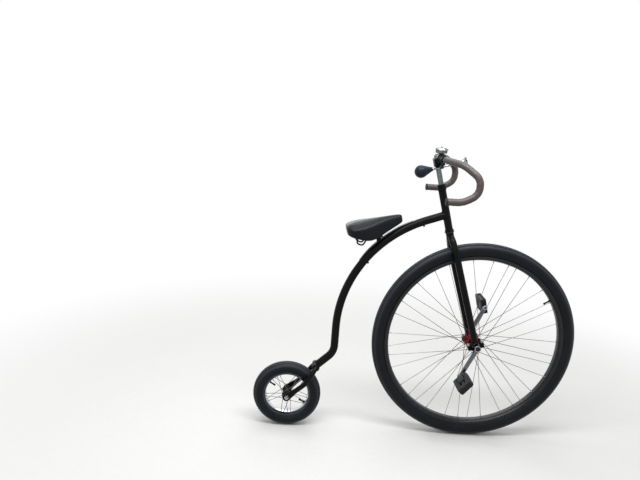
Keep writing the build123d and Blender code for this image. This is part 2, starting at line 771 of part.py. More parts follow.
def bar_path(side):
    return [bar_centre + Vector(f, side * out, up) for f, out, up in bar_route]


with BuildPart() as handlebar:
    for side in (1, -1):
        with BuildLine() as bar_line:
            FilletPolyline(*bar_path(side), radius=bar_bends)
        with BuildSketch(Plane(origin=bar_line.line @ 0, z_dir=bar_line.line % 0)):
            Circle(bar_od / 2)
        sweep(path=bar_line.line)
save(handlebar, "handlebar")
with BuildPart() as bar_tape:
    for side in (1, -1):
        with BuildLine() as tape_line:
            FilletPolyline(*bar_path(side), radius=bar_bends)
        with BuildSketch(Plane(origin=tape_line.line @ 0, z_dir=tape_line.line % 0)):
            Circle(tape_od / 2)
            Circle(bar_od / 2 + seat / 3, mode=Mode.SUBTRACT)
        sweep(path=tape_line.line)
    with Locations(bar_centre):
        Box(bar_reach, 2 * bare_half, bar_reach, mode=Mode.SUBTRACT)
save(bar_tape, "bar_tape")
with BuildPart() as bar_plugs:
    for side in (1, -1):
        tip = bar_centre + Vector(-1 - seat, side * bar_half_width, -bar_drop)
        with BuildSketch(Plane(origin=tip, z_dir=(-1, 0, 0))):
            Circle(tape_od / 2 + 0.5)
        extrude(amount=plug_length)
        fillet(bar_plugs.edges().group_by(Axis.X)[0], 2.0)
save(bar_plugs, "bar_plugs")

# Bulb horn under the bar on the right, held by a bracket on the bare tube
horn_dir = Vector(cos(radians(horn_tilt)), 0, sin(radians(horn_tilt)))
horn_mid = bar_centre + Vector(0, horn_y, -horn_drop)
horn_plane = Plane(origin=horn_mid, x_dir=horn_dir, z_dir=(0, -1, 0))
horn_axis = Axis(horn_mid, horn_dir)
with BuildPart() as horn_trumpet:
    with BuildSketch(horn_plane):
        with BuildLine():
            outer = Polyline((-horn_back, horn_tube_r), (horn_front - horn_flare, horn_tube_r))
            bell_curve = Bezier(
                outer @ 1,
                (horn_front - horn_flare * 0.35, horn_tube_r + 1),
                (horn_front - 4, horn_mouth_r * 0.55),
                (horn_front, horn_mouth_r),
            )
            Line(bell_curve @ 1, (horn_front, horn_mouth_r - horn_wall))
            inner_curve = Bezier(
                (horn_front, horn_mouth_r - horn_wall),
                (horn_front - 5, horn_mouth_r * 0.55 - horn_wall * 0.6),
                (horn_front - horn_flare * 0.35, horn_tube_r - horn_wall + 0.6),
                (horn_front - horn_flare, horn_tube_r - horn_wall),
            )
            Line(inner_curve @ 1, (horn_front - horn_flare, 0))
            Line((horn_front - horn_flare, 0), (-horn_back, 0))
            Line((-horn_back, 0), (-horn_back, horn_tube_r))
        make_face()
    revolve(axis=horn_axis)
save(horn_trumpet, "horn_trumpet")
with BuildPart() as horn_bulb:
    with BuildSketch(horn_plane):
        neck_x = -horn_back - seat
        bulb_x = -horn_back - bulb_neck - bulb_d / 2
        with BuildLine():
            Line((neck_x, 0), (neck_x, bulb_neck_r))
            Line((neck_x, bulb_neck_r), (neck_x - 8, bulb_neck_r))
            Spline(
                (neck_x - 8, bulb_neck_r),
                (bulb_x, bulb_d / 2),
                tangents=[(-1, 0.75), (-1, 0)],
            )
            RadiusArc((bulb_x, bulb_d / 2), (bulb_x - bulb_d / 2, 0), bulb_d / 2)
            Line((bulb_x - bulb_d / 2, 0), (neck_x, 0))
        make_face()
    revolve(axis=horn_axis)
save(horn_bulb, "horn_bulb")
with BuildPart() as horn_bracket:
    bracket = Plane(origin=bar_centre + Vector(0, horn_y, 0), x_dir=(1, 0, 0), z_dir=(0, -1, 0))
    with BuildSketch(bracket):
        Circle(bar_od / 2 + bracket_wall)
    extrude(amount=bracket_width / 2, both=True)
    with BuildSketch(bracket):
        with Locations((0, -horn_drop / 2)):
            Rectangle(bracket_width, horn_drop)
    extrude(amount=bracket_width * 0.4, both=True)
    with BuildSketch(Plane(origin=horn_mid - horn_dir * bracket_width * 0.7, z_dir=horn_dir)):
        Circle(horn_tube_r + bracket_wall)
    extrude(amount=bracket_width * 1.4)
    with BuildSketch(bracket):
        Circle(bar_od / 2 + seat / 3)
    extrude(amount=bracket_width, both=True, mode=Mode.SUBTRACT)
    with BuildSketch(Plane(origin=horn_mid - horn_dir * bracket_width, z_dir=horn_dir)):
        Circle(horn_tube_r + seat / 3)
    extrude(amount=bracket_width * 2, mode=Mode.SUBTRACT)
save(horn_bracket, "horn_bracket")

# Bell above the stem head: post and base plate, then the dome
bell_foot = bar_centre + Vector(0, 0, stem_head_od / 2 + seat)
bell_axis = Axis(bell_foot, (0, 0, 1))
with BuildPart() as bell_base:
    with BuildSketch(Plane(origin=bell_foot)):
        Circle(9)
    extrude(amount=bell_lift)
    with BuildSketch(Plane(origin=bell_foot + Vector(0, 0, bell_lift))):
        Circle(bell_d / 2 - 3)
    extrude(amount=2)
    with BuildSketch(Plane(origin=bell_foot + Vector(0, 0, bell_lift + 2))):
        Circle(4)
    extrude(amount=bell_height - 3 - 2 - seat)
save(bell_base, "bell_base")
with BuildPart() as bell_dome:
    with BuildSketch(Plane(origin=bell_foot + Vector(0, 0, bell_lift), x_dir=(1, 0, 0), z_dir=(0, -1, 0))):
        with BuildLine():
            Line((bell_d / 2 - 1.5, 0), (bell_d / 2, 0))
            Line((bell_d / 2, 0), (bell_d / 2, bell_height * 0.3))
            ThreePointArc(
                (bell_d / 2, bell_height * 0.3), (bell_d * 0.36, bell_height * 0.84), (5, bell_height)
            )
            Line((5, bell_height), (5, bell_height + 3))
            Line((5, bell_height + 3), (0, bell_height + 4))
            Line((0, bell_height + 4), (0, bell_height - 3))
            Line((0, bell_height - 3), (5, bell_height - 3))
            ThreePointArc(
                (5, bell_height - 3),
                (bell_d * 0.335, bell_height * 0.76),
                (bell_d / 2 - 1.5, bell_height * 0.3),
            )
            Line((bell_d / 2 - 1.5, bell_height * 0.3), (bell_d / 2 - 1.5, 0))
        make_face()
    revolve(axis=bell_axis)
save(bell_dome, "bell_dome")

# Saddle: forward along the saddle, half width, crown above the seat line, depth of the side
saddle_sections = [
    (121, 11, -10, 32),
    (100, 19, -1, 43),
    (40, 34, 1, 67),
    (-30, 66, 1, 84),
    (-84, 81, -3, 62),
    (-124, 58, -16, 42),
]
saddle_frame = Plane(
    origin=(0, 0, 0),
    x_dir=(cos(radians(saddle_tilt)), 0, sin(radians(saddle_tilt))),
    z_dir=(-sin(radians(saddle_tilt)), 0, cos(radians(saddle_tilt))),
)


def saddle_point(forward, left, up):
    return saddle_frame.from_local_coords(Vector(forward, left, up))


# Cross section of the saddle: an arc over the top and straight sides down to an open bottom
def saddle_section(forward, half_width, crown, bottom):
    across = Plane(origin=saddle_point(forward, 0, 0), x_dir=(0, 1, 0), z_dir=saddle_frame.x_dir)
    shoulder = crown - (crown - bottom) * 0.42
    with BuildSketch(across) as section:
        with BuildLine():
            Line((half_width * 0.9, bottom), (half_width, shoulder))
            ThreePointArc((half_width, shoulder), (0, crown), (-half_width, shoulder))
            Line((-half_width, shoulder), (-half_width * 0.9, bottom))
            Line((-half_width * 0.9, bottom), (half_width * 0.9, bottom))
        make_face()
    return section.sketch


with BuildPart() as saddle_cushion:
    for forward, half_width, crown, depth in saddle_sections:
        add(saddle_section(forward, half_width, crown, -depth))
    loft()
    for forward, half_width, crown, depth in saddle_sections[1:-1]:
        add(saddle_section(forward, half_width - saddle_pad * 0.6, crown - saddle_pad, -depth - 1))
    loft(mode=Mode.SUBTRACT)
save(saddle_cushion, "saddle_cushion")

# Moulded base under the padding
with BuildPart() as saddle_base:
    for forward, half_width, crown, depth in saddle_sections[1:-1]:
        inner_half = half_width - saddle_pad * 0.6 - seat * 3
        across = Plane(origin=saddle_point(forward, 0, 0), x_dir=(0, 1, 0), z_dir=saddle_frame.x_dir)
        with BuildSketch(across):
            with Locations((0, -depth * 0.42 - saddle_pad - 4)):
                Rectangle(inner_half * 1.86, saddle_base_t)
    loft()
save(saddle_base, "saddle_base")

# Two rails under the saddle, for one side: forward, out and up
rail_route = [
    (80, 7, -43.7),
    (71, 9, -50),
    (44, 14, -61),
    (30, saddle_rail_spread / 2, -70),
    (-40, saddle_rail_spread / 2, -80),
    (-62, 26, -106),
    (-86, 36, -91),
    (-75, 44, -50.7),
]
rail_bends = [6, 10, 16, 20, 14, 14]
rails = [[saddle_point(f, side * out, up) for f, out, up in rail_route] for side in (1, -1)]
with BuildPart() as saddle_rails:
    for rail in rails:
        with BuildLine() as rail_line:
            FilletPolyline(*rail, radius=rail_bends)
        with BuildSketch(Plane(origin=rail[0], z_dir=rail_line.line % 0)):
            Circle(saddle_rail_d / 2)
        sweep(path=rail_line.line)
save(saddle_rails, "saddle_rails")

# Flat bar that hugs the top of the backbone, tapers at its ends and carries the saddle clamp
tube_top_r = backbone_bend_r + backbone_od / 2
saddle_bar_top_r = tube_top_r + saddle_bar_t
saddle_bar_slope_r = tube_top_r + saddle_bar_t * saddle_bar_shoulder
side_view = Plane(origin=bend_centre, x_dir=(1, 0, 0), z_dir=(0, -1, 0))


def round_bend(angle, r):
    return (r * cos(radians(angle)), r * sin(radians(angle)))


with BuildPart() as saddle_bar:
    with BuildSketch(side_view):
        with BuildLine():
            under = CenterArc(
                (0, 0), tube_top_r - saddle_bar_sink, saddle_bar_front, saddle_bar_back - saddle_bar_front
            )
            over = CenterArc(
                (0, 0), saddle_bar_top_r, saddle_bar_front + saddle_bar_taper,
                saddle_bar_back - saddle_bar_front - 2 * saddle_bar_taper,
            )
            Spline(
                over @ 0,
                round_bend(saddle_bar_front + saddle_bar_taper / 2, saddle_bar_slope_r),
                round_bend(saddle_bar_front, tube_top_r + saddle_bar_tip),
            )
            Spline(
                over @ 1,
                round_bend(saddle_bar_back - saddle_bar_taper / 2, saddle_bar_slope_r),
                round_bend(saddle_bar_back, tube_top_r + saddle_bar_tip),
            )
            Line(round_bend(saddle_bar_front, tube_top_r + saddle_bar_tip), under @ 0)
            Line(round_bend(saddle_bar_back, tube_top_r + saddle_bar_tip), under @ 1)
        make_face()
    extrude(amount=saddle_bar_width / 2, both=True)
    with BuildSketch(Plane(origin=joint, z_dir=backbone_line.line % 0)):
        Circle(backbone_od / 2 + seat / 3)
    sweep(path=backbone_line.line, mode=Mode.SUBTRACT)
save(saddle_bar, "saddle_bar")

# Clamp on the rails, with its post cut to the curve of the bar
clamp_middle = saddle_point(clamp_forward, 0, -clamp_below)
with BuildPart() as saddle_clamp:
    with BuildSketch(Plane(origin=clamp_middle, x_dir=saddle_frame.x_dir, z_dir=(0, -1, 0))):
        RectangleRounded(clamp_length, clamp_height, 5)
    extrude(amount=saddle_rail_spread / 2 + clamp_wall, both=True)
    with BuildSketch(Plane(origin=clamp_middle, x_dir=saddle_frame.x_dir, z_dir=-saddle_frame.z_dir)):
        Circle(clamp_post_d / 2)
    extrude(amount=clamp_below * 0.6)
    with BuildSketch(side_view):
        Circle(saddle_bar_top_r + seat / 3)
    extrude(amount=saddle_rail_spread, both=True, mode=Mode.SUBTRACT)
    for rail in rails:
        with BuildLine() as hole_line:
            FilletPolyline(*rail, radius=rail_bends)
        with BuildSketch(Plane(origin=rail[0], z_dir=hole_line.line % 0)):
            Circle(saddle_rail_d / 2 + seat / 3)
        sweep(path=hole_line.line, mode=Mode.SUBTRACT)
save(saddle_clamp, "saddle_clamp")
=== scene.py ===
from math import ceil, cos, degrees, pi, radians, sin, sqrt, tan

import bmesh
import bpy
from mathutils import Matrix, Vector


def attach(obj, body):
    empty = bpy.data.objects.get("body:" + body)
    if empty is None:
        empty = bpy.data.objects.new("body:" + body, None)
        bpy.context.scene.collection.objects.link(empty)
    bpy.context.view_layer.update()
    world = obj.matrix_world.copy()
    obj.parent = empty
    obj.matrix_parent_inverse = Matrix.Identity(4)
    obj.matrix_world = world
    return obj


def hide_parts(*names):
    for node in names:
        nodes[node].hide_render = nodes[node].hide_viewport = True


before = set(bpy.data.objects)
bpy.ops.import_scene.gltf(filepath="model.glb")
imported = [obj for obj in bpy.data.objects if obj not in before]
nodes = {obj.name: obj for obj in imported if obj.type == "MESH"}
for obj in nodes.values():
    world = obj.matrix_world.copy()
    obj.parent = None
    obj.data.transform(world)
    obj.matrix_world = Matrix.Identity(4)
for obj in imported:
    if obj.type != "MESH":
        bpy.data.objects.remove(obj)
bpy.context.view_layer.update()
print("penny farthing: frame loaded")

# Places are in millimetres from the ground under the front axle: forward, left, up.
saddleTop = Vector((-500, 0, 992))
left = Vector((0, 1, 0))
upright = Vector((0, 0, 1))

wheels = {"frontAxle": Vector((0, 0, 457)), "rearAxle": Vector((-822, 0, 154))}
headTilt = radians(16.5)
steerUp = Vector((-sin(headTilt), 0, cos(headTilt)))
steerForward = Vector((cos(headTilt), 0, sin(headTilt)))
steerFoot = wheels["frontAxle"] - steerForward * 17.5


def onSteering(forward, out, up):
    return steerFoot + steerForward * forward + left * out + steerUp * up


# Mesh helpers

def rounded(corners, radii, bite=8.0, closed=False):
    # corners joined by arcs of the given radii, with one point for every few degrees
    points = []
    for index, corner in enumerate(corners):
        radius = radii[index] if isinstance(radii, (list, tuple)) else radii
        atEnd = not closed and index in (0, len(corners) - 1)
        if atEnd or radius <= 0:
            points.append(corner.copy())
            continue
        before = (corners[index - 1] - corner).normalized()
        after = (corners[(index + 1) % len(corners)] - corner).normalized()
        half = before.angle(after) / 2
        turn = pi - 2 * half
        if turn < 0.02:
            points.append(corner.copy())
            continue
        centre = corner + (before + after).normalized() * (radius / sin(half))
        first = corner + before * (radius / tan(half)) - centre
        last = corner + after * (radius / tan(half)) - centre
        steps = max(2, ceil(degrees(turn) / bite))
        for step in range(steps + 1):
            share = step / steps
            a = sin((1 - share) * turn) / sin(turn)
            b = sin(share * turn) / sin(turn)
            points.append(centre + first * a + last * b)
    return points


def evenly(points, spacing):
    # the same path with points at an even spacing
    lengths = [0.0]
    for a, b in zip(points, points[1:]):
        lengths.append(lengths[-1] + (b - a).length)
    count = max(2, round(lengths[-1] / spacing))
    result = []
    place = 0
    for step in range(count + 1):
        target = lengths[-1] * step / count
        while place < len(points) - 2 and lengths[place + 1] < target:
            place += 1
        run = lengths[place + 1] - lengths[place]
        result.append(points[place].lerp(points[place + 1], (target - lengths[place]) / max(run, 1e-6)))
    return result


def bridge(bm, rings, closed=False):
    # faces between neighbouring rings; a ring of one point makes a fan
    around = max(len(ring) for ring in rings)
    pairs = list(zip(rings, rings[1:]))
    if closed:
        pairs.append((rings[-1], rings[0]))
    for a, b in pairs:
        for step in range(around):
            other = (step + 1) % around
            corners = [a[step % len(a)], a[other % len(a)], b[other % len(b)], b[step % len(b)]]
            unique = list(dict.fromkeys(corners))
            if len(unique) > 2:
                bm.faces.new(unique)


def lathe(bm, profile, origin, axis, around=48, closed=False):
    # profile of (radius, along the axis) turned about an axis
    axis = axis.normalized()
    side = axis.orthogonal().normalized()
    other = axis.cross(side)
    rings = []
    for radius, along in profile:
        centre = origin + axis * along
        if radius < 1e-4:
            rings.append([bm.verts.new(centre)])
            continue
        ring = []
        for step in range(around):
            angle = 2 * pi * step / around
            ring.append(bm.verts.new(centre + (side * cos(angle) + other * sin(angle)) * radius))
        rings.append(ring)
    bridge(bm, rings, closed)


def softProfile(corners, radii, closed=False):
    # a lathe profile whose corners are rounded
    flat = [Vector((radius, along, 0)) for radius, along in corners]
    return [(point.x, point.y) for point in rounded(flat, radii, 20, closed)]


def tube(bm, points, radius, around=16, closed=False, caps=True):
    # radius is a number, or a function of the point's index and the angle
    rings = []
    side = (points[1] - points[0]).orthogonal().normalized()
    for index, point in enumerate(points):
        before = points[index - 1] if closed or index else point
        after = points[(index + 1) % len(points)] if closed or index < len(points) - 1 else point
        along = (after - before).normalized()
        side = (side - along * side.dot(along)).normalized()
        other = along.cross(side)
        ring = []
        for step in range(around):
            angle = 2 * pi * step / around
            size = radius(index, angle) if callable(radius) else radius
            ring.append(bm.verts.new(point + (side * cos(angle) + other * sin(angle)) * size))
        rings.append(ring)
    bridge(bm, rings, closed)
    if caps and not closed:
        bm.faces.new(rings[0][::-1])
        bm.faces.new(rings[-1])


def plate(bm, outline, origin, alongX, alongY, thickness, edge=0.8):
    # an outline in its own plane, made thick both ways, with softened edges
    normal = alongX.cross(alongY).normalized()
    loops = []
    for height in (-thickness / 2, thickness / 2):
        loops.append([bm.verts.new(origin + alongX * x + alongY * y + normal * height) for x, y in outline])
    bottom = bm.faces.new(loops[0][::-1])
    top = bm.faces.new(loops[1])
    bridge(bm, loops)
    if edge:
        rim = list(dict.fromkeys(list(bottom.edges) + list(top.edges)))
        bmesh.ops.bevel(bm, geom=rim, offset=edge, segments=3, profile=0.5, affect="EDGES")


def circle(radius, count=32, centre=(0, 0), start=0.0, sweep=360.0):
    steps = count if sweep >= 360 else count + 1
    points = []
    for step in range(steps):
        angle = radians(start + sweep * step / count)
        points.append((centre[0] + radius * cos(angle), centre[1] + radius * sin(angle)))
    return points


def addPiece(name, bm, body, finish, replaces=(), sharp=38):
    bmesh.ops.recalc_face_normals(bm, faces=bm.faces)
    for vert in bm.verts:
        vert.co = (vert.co - saddleTop) / 1000
    mesh = bpy.data.meshes.new(name)
    bm.to_mesh(mesh)
    bm.free()
    mesh.polygons.foreach_set("use_smooth", [True] * len(mesh.polygons))
    mesh.set_sharp_from_angle(angle=radians(sharp))
    mesh.materials.append(finish)
    piece = bpy.data.objects.new(name, mesh)
    bpy.context.scene.collection.objects.link(piece)
    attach(piece, body)
    if replaces:
        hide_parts(*replaces)
    return piece


# Materials

def linear(code):
    # sRGB hex to linear
    result = []
    for place in (0, 2, 4):
        value = int(code[place:place + 2], 16) / 255
        result.append(value / 12.92 if value <= 0.04045 else ((value + 0.055) / 1.055) ** 2.4)
    return (*result, 1.0)


def addNode(tree, kind, settings=None, inputs=None, links=None):
    node = tree.nodes.new(kind)
    for key, value in (settings or {}).items():
        setattr(node, key, value)
    for key, value in (inputs or {}).items():
        node.inputs[key].default_value = value
    for key, source in (links or {}).items():
        tree.links.new(source, node.inputs[key])
    return node


plainLook = {"metallic": 0.0, "spread": 0.16, "grainStrength": 0.6, "slantRange": (0.0, 1.0), "sockets": {}}
slantBlend = 0.45


def makeFinish(name, look):
    # colour patches, uneven gloss and a fine grain, each from a real size in millimetres
    look = {**plainLook, **look}
    finish = bpy.data.materials.new(name)
    finish.use_nodes = True
    tree = finish.node_tree
    tree.nodes.clear()
    where = addNode(tree, "ShaderNodeTexCoord").outputs["Object"]
    patches = addNode(
        tree, "ShaderNodeTexNoise", None,
        {"Scale": 1000 / look["patch"], "Detail": 5.0, "Roughness": 0.6}, {"Vector": where},
    )
    spread = look["spread"]
    share = addNode(
        tree, "ShaderNodeMapRange", None,
        {"From Min": 0.5 - spread, "From Max": 0.5 + spread}, {"Value": patches.outputs["Fac"]},
    )
    colours = addNode(
        tree, "ShaderNodeMix", {"data_type": "RGBA"},
        {6: linear(look["colours"][0]), 7: linear(look["colours"][1])}, {"Factor": share.outputs["Result"]},
    )
    tone = colours.outputs[2]
    # painted reflection: where the surface turns away from the view its colour moves to the slant colour,
    # standing in for surroundings mirrored at a slant
    if "slantReflectionColour" in look:
        slant = addNode(tree, "ShaderNodeLayerWeight", None, {"Blend": slantBlend})
        near, far = look["slantRange"]
        turned = addNode(
            tree, "ShaderNodeMapRange", None,
            {"From Min": near, "From Max": far}, {"Value": slant.outputs["Facing"]},
        )
        tone = addNode(
            tree, "ShaderNodeMix", {"data_type": "RGBA"}, {7: linear(look["slantReflectionColour"])},
            {"Factor": turned.outputs["Result"], 6: tone},
        ).outputs[2]
    # second colour by the vertex mask: dust on the tyre tread; on the spokes, painted shade and a painted
    # red reflection of the hub
    if "dustAndShadeColour" in look:
        dustAndShade = addNode(tree, "ShaderNodeAttribute", {"attribute_name": "dustAndShade"})
        tone = addNode(
            tree, "ShaderNodeMix", {"data_type": "RGBA"}, {7: linear(look["dustAndShadeColour"])},
            {"Factor": dustAndShade.outputs["Fac"], 6: tone},
        ).outputs[2]
    uneven = addNode(
        tree, "ShaderNodeTexNoise", None,
        {"Scale": 1000 / look["glossPatch"], "Detail": 3.0}, {"Vector": where},
    )
    gloss = addNode(
        tree, "ShaderNodeMapRange", None,
        {"From Min": 0.3, "From Max": 0.7, "To Min": look["rough"][0], "To Max": look["rough"][1]},
        {"Value": uneven.outputs["Fac"]},
    )
    if look.get("cells"):
        grain = addNode(
            tree, "ShaderNodeTexVoronoi", {"feature": "SMOOTH_F1"},
            {"Scale": 1000 / look["grain"], "Smoothness": 0.6}, {"Vector": where},
        ).outputs["Distance"]
    else:
        grain = addNode(
            tree, "ShaderNodeTexNoise", None,
            {"Scale": 1000 / look["grain"], "Detail": 2.0}, {"Vector": where},
        ).outputs["Fac"]
    bump = addNode(
        tree, "ShaderNodeBump", None,
        {"Strength": look["grainStrength"], "Distance": look["grainDepth"] / 1000},
        {"Height": grain},
    )
    shader = addNode(
        tree, "ShaderNodeBsdfPrincipled", None,
        {"Metallic": look["metallic"], **look["sockets"]},
        {
            "Base Color": tone,
            "Roughness": gloss.outputs["Result"],
            "Normal": bump.outputs["Normal"],
        },
    )
    addNode(tree, "ShaderNodeOutputMaterial", None, None, {"Surface": shader.outputs["BSDF"]})
    return finish


looks = {
    # moulded rubber with carbon black: blacker walls, and a tread dulled by dust and bloom
    "tyreRubber": {
        "colours": ("111317", "191c22"), "patch": 60, "rough": (0.34, 0.44), "glossPatch": 25,
        "grain": 0.9, "grainDepth": 0.03, "dustAndShadeColour": "34373d", "sockets": {"Specular IOR Level": 0.15},
    },
    # anodised extrusion, turned bright before the dye: deep black that mirrors only at a slant
    "rimAnodised": {
        "colours": ("14161a", "1a1c21"), "patch": 30, "rough": (0.24, 0.34), "glossPatch": 18,
        "grain": 0.8, "grainDepth": 0.01, "sockets": {"Specular IOR Level": 0.3},
    },
    # drawn stainless wire: soft grey shine along its length, a painted darker reflection at a slant, and
    # painted shade tinted by a painted red reflection of the hub near the flange
    "spokeWire": {
        "colours": ("a3a6aa", "8e9196"), "patch": 25, "rough": (0.24, 0.36), "glossPatch": 10,
        "grain": 0.6, "grainDepth": 0.02, "metallic": 1.0, "slantReflectionColour": "6a6d72", "dustAndShadeColour": "43292b",
    },
    # nickel-plated brass, tumbled: small bright points with a warm cast, and a painted darker reflection at
    # a slant
    "nippleNickel": {
        "colours": ("b6b3ab", "a19d94"), "patch": 8, "rough": (0.22, 0.32), "glossPatch": 5,
        "grain": 0.5, "grainDepth": 0.02, "metallic": 1.0, "slantReflectionColour": "6f6c66",
    },
    # red anodised aluminium, turned: clear dark red with a metal glint, and a painted darker red reflection
    # at a slant
    "hubAnodised": {
        "colours": ("98141c", "7c0c14"), "patch": 14, "rough": (0.30, 0.42), "glossPatch": 8,
        "grain": 0.7, "grainDepth": 0.008, "metallic": 0.5, "slantReflectionColour": "6a0810",
    },
    # zinc plate on pressed steel: pale, slightly cloudy silver, with a painted darker reflection at a slant
    "zincPlate": {
        "colours": ("b0b2b5", "979a9e"), "patch": 9, "rough": (0.24, 0.38), "glossPatch": 6,
        "grain": 0.6, "grainDepth": 0.02, "metallic": 1.0, "slantReflectionColour": "5b5e63",
    },
    # forged alloy, buffed and then weathered: soft mid grey shine, with a painted darker reflection at a
    # slant
    "polishedAlloy": {
        "colours": ("6c7074", "5f6367"), "patch": 20, "rough": (0.14, 0.24), "glossPatch": 14,
        "grain": 1.2, "grainDepth": 0.012, "metallic": 1.0, "slantReflectionColour": "3c4045",
    },
    # oily steel in a recess: dark, with a little rust; also the painted shade lining the crank recesses and
    # pedal spindle sockets
    "agedSteelAndShade": {
        "colours": ("1c1413", "331d18"), "patch": 6, "rough": (0.38, 0.60), "glossPatch": 4,
        "grain": 0.8, "grainDepth": 0.04, "metallic": 0.4, "spread": 0.1,
    },
    # old zinc plate gone dull: mid grey, cloudy, with a painted darker reflection at a slant
    "dullZinc": {
        "colours": ("3c3e42", "2e3034"), "patch": 9, "rough": (0.34, 0.50), "glossPatch": 6,
        "grain": 0.6, "grainDepth": 0.02, "metallic": 0.8, "slantReflectionColour": "1c1e21",
    },
    # older plating, greyed by weather, with a painted darker reflection at a slant
    "greyPlate": {
        "colours": ("787d7f", "686d6e"), "patch": 14, "rough": (0.20, 0.32), "glossPatch": 8,
        "grain": 0.8, "grainDepth": 0.015, "metallic": 0.95, "slantReflectionColour": "34383a",
    },
    # chromed steel rim: darker walls, and a bed that turns pale at a slant, a painted reflection of the
    # light from above
    "rimChrome": {
        "colours": ("404347", "36393d"), "patch": 40, "rough": (0.08, 0.15), "glossPatch": 20,
        "grain": 5, "grainDepth": 0.01, "grainStrength": 0.3, "metallic": 1.0, "slantReflectionColour": "ced5e0",
        "slantRange": (0.2, 0.46),
    },
    # chrome on brass or steel: almost a mirror, with a painted darker reflection where it turns away from
    # the view
    "chromePlate": {
        "colours": ("bcc0c4", "aeb2b6"), "patch": 60, "rough": (0.06, 0.11), "glossPatch": 30,
        "grain": 6, "grainDepth": 0.01, "grainStrength": 0.3, "metallic": 1.0, "slantReflectionColour": "2c2f33",
    },
    # black powder coat over steel tube: deep black, long soft highlights, faint orange peel
    "powderCoat": {
        "colours": ("060607", "0b0b0d"), "patch": 90, "rough": (0.24, 0.33), "glossPatch": 40,
        "grain": 2.2, "grainDepth": 0.008, "sockets": {"Specular IOR Level": 0.11},
    },
    # chemically blackened steel and black anodised castings: flatter black, oily gloss
    "blackOxide": {
        "colours": ("09090b", "111113"), "patch": 12, "rough": (0.32, 0.46), "glossPatch": 8,
        "grain": 0.6, "grainDepth": 0.03, "sockets": {"Specular IOR Level": 0.09},
    },
    # moulded nylon pedal: matt charcoal, scuffed paler here and there
    "pedalResin": {
        "colours": ("26282b", "34363a"), "patch": 12, "rough": (0.38, 0.52), "glossPatch": 7,
        "grain": 0.8, "grainDepth": 0.03, "cells": True, "sockets": {"Specular IOR Level": 0.1},
    },
    "valveRubber": {
        "colours": ("0f0f11", "18181a"), "patch": 8, "rough": (0.5, 0.65), "glossPatch": 5,
        "grain": 0.5, "grainDepth": 0.04, "sockets": {"Specular IOR Level": 0.2},
    },
    # grained vinyl over foam: satin blue-black whose shoulder catches the light
    "saddleVinyl": {
        "colours": ("0b0e14", "10141b"), "patch": 70, "rough": (0.28, 0.34), "glossPatch": 60,
        "grain": 1.2, "grainDepth": 0.001, "cells": True, "sockets": {"Specular IOR Level": 0.16},
    },
    "shellPlastic": {
        "colours": ("0f0f11", "17171a"), "patch": 20, "rough": (0.40, 0.52), "glossPatch": 12,
        "grain": 1.0, "grainDepth": 0.03, "sockets": {"Specular IOR Level": 0.1},
    },
    # leather-look tape: taupe grey, rubbed smooth
    "corkTape": {
        "colours": ("453c3b", "4d4443"), "patch": 60, "rough": (0.36, 0.46), "glossPatch": 40,
        "grain": 0.8, "grainDepth": 0.003, "spread": 0.3, "sockets": {"Specular IOR Level": 0.62},
    },
    # moulded end plug of the tape's own brown, a shade darker
    "plugPlastic": {
        "colours": ("2f2827", "382f2e"), "patch": 12, "rough": (0.40, 0.55), "glossPatch": 8,
        "grain": 1.0, "grainDepth": 0.02, "sockets": {"Specular IOR Level": 0.2},
    },
    # thick black rubber, blow moulded: blue-black with a soft shine
    "bulbRubber": {
        "colours": ("111927", "172133"), "patch": 30, "rough": (0.30, 0.40), "glossPatch": 20,
        "grain": 1.4, "grainDepth": 0.01, "sockets": {"Specular IOR Level": 0.2},
    },
}
finishes = {name: makeFinish(name, look) for name, look in looks.items()}
print("penny farthing: finishes made")


# CAD pieces that keep their own shape get softened edges and a finish
weldGap = 0.00002  # metres


def dressNode(name, finish, edge):
    piece = nodes[name]
    piece.data.materials.clear()
    piece.data.materials.append(finishes[finish])
    if "custom_normal" in piece.data.attributes:
        piece.data.attributes.remove(piece.data.attributes["custom_normal"])
    weld = piece.modifiers.new("weld", "WELD")
    weld.merge_threshold = weldGap
    bevel = piece.modifiers.new("edges", "BEVEL")
    bevel.width = edge / 1000
    bevel.segments = 3
    bevel.limit_method = "ANGLE"
    bevel.angle_limit = radians(32)
    bevel.use_clamp_overlap = True
    normals = piece.modifiers.new("shading", "WEIGHTED_NORMAL")
    normals.keep_sharp = True


kept = {
    "bearing_holders": ("blackOxide", 1.2),
    "bearing_caps": ("blackOxide", 1.2),
    "hub_bearings": ("zincPlate", 0.5),
    "stem_head": ("blackOxide", 1.5),
    "saddle_clamp": ("blackOxide", 1.2),
    "saddle_bar": ("powderCoat", 1.5),
    "saddle_base": ("shellPlastic", 1.0),
    "front_spindle": ("zincPlate", 0.4),
    "crank_right": ("polishedAlloy", 1.8),
    "crank_left": ("polishedAlloy", 1.8),
    "horn_bracket": ("dullZinc", 0.7),
    "rear_axle": ("zincPlate", 0.6),
}
for node, (finish, edge) in kept.items():
    dressNode(node, finish, edge)


# Tyres: round casing, slanted sipes between two pairs of grooves, and smooth shoulders
tread = {
    "step": 33, "grooveDepth": 2.6, "sipeDepth": 1.2, "stepDepth": 1.7, "slant": 0.45,
    "columns": (0.0, 0.34, 0.62, 0.68, 0.94), "sipeFrom": 3, "dustEdge": 74, "dustFade": 14,
}
tyres = {
    "frontTyre": {
        "centre": wheels["frontAxle"], "outer": 457, "width": 57, "rimEdge": 402, "repeats": 200,
        "node": "front_tyre", "body": "front_wheel",
    },
    "rearTyre": {
        "centre": wheels["rearAxle"], "outer": 154, "width": 56, "rimEdge": 109, "repeats": 68,
        "node": "rear_tyre", "body": "rear_wheel",
    },
}


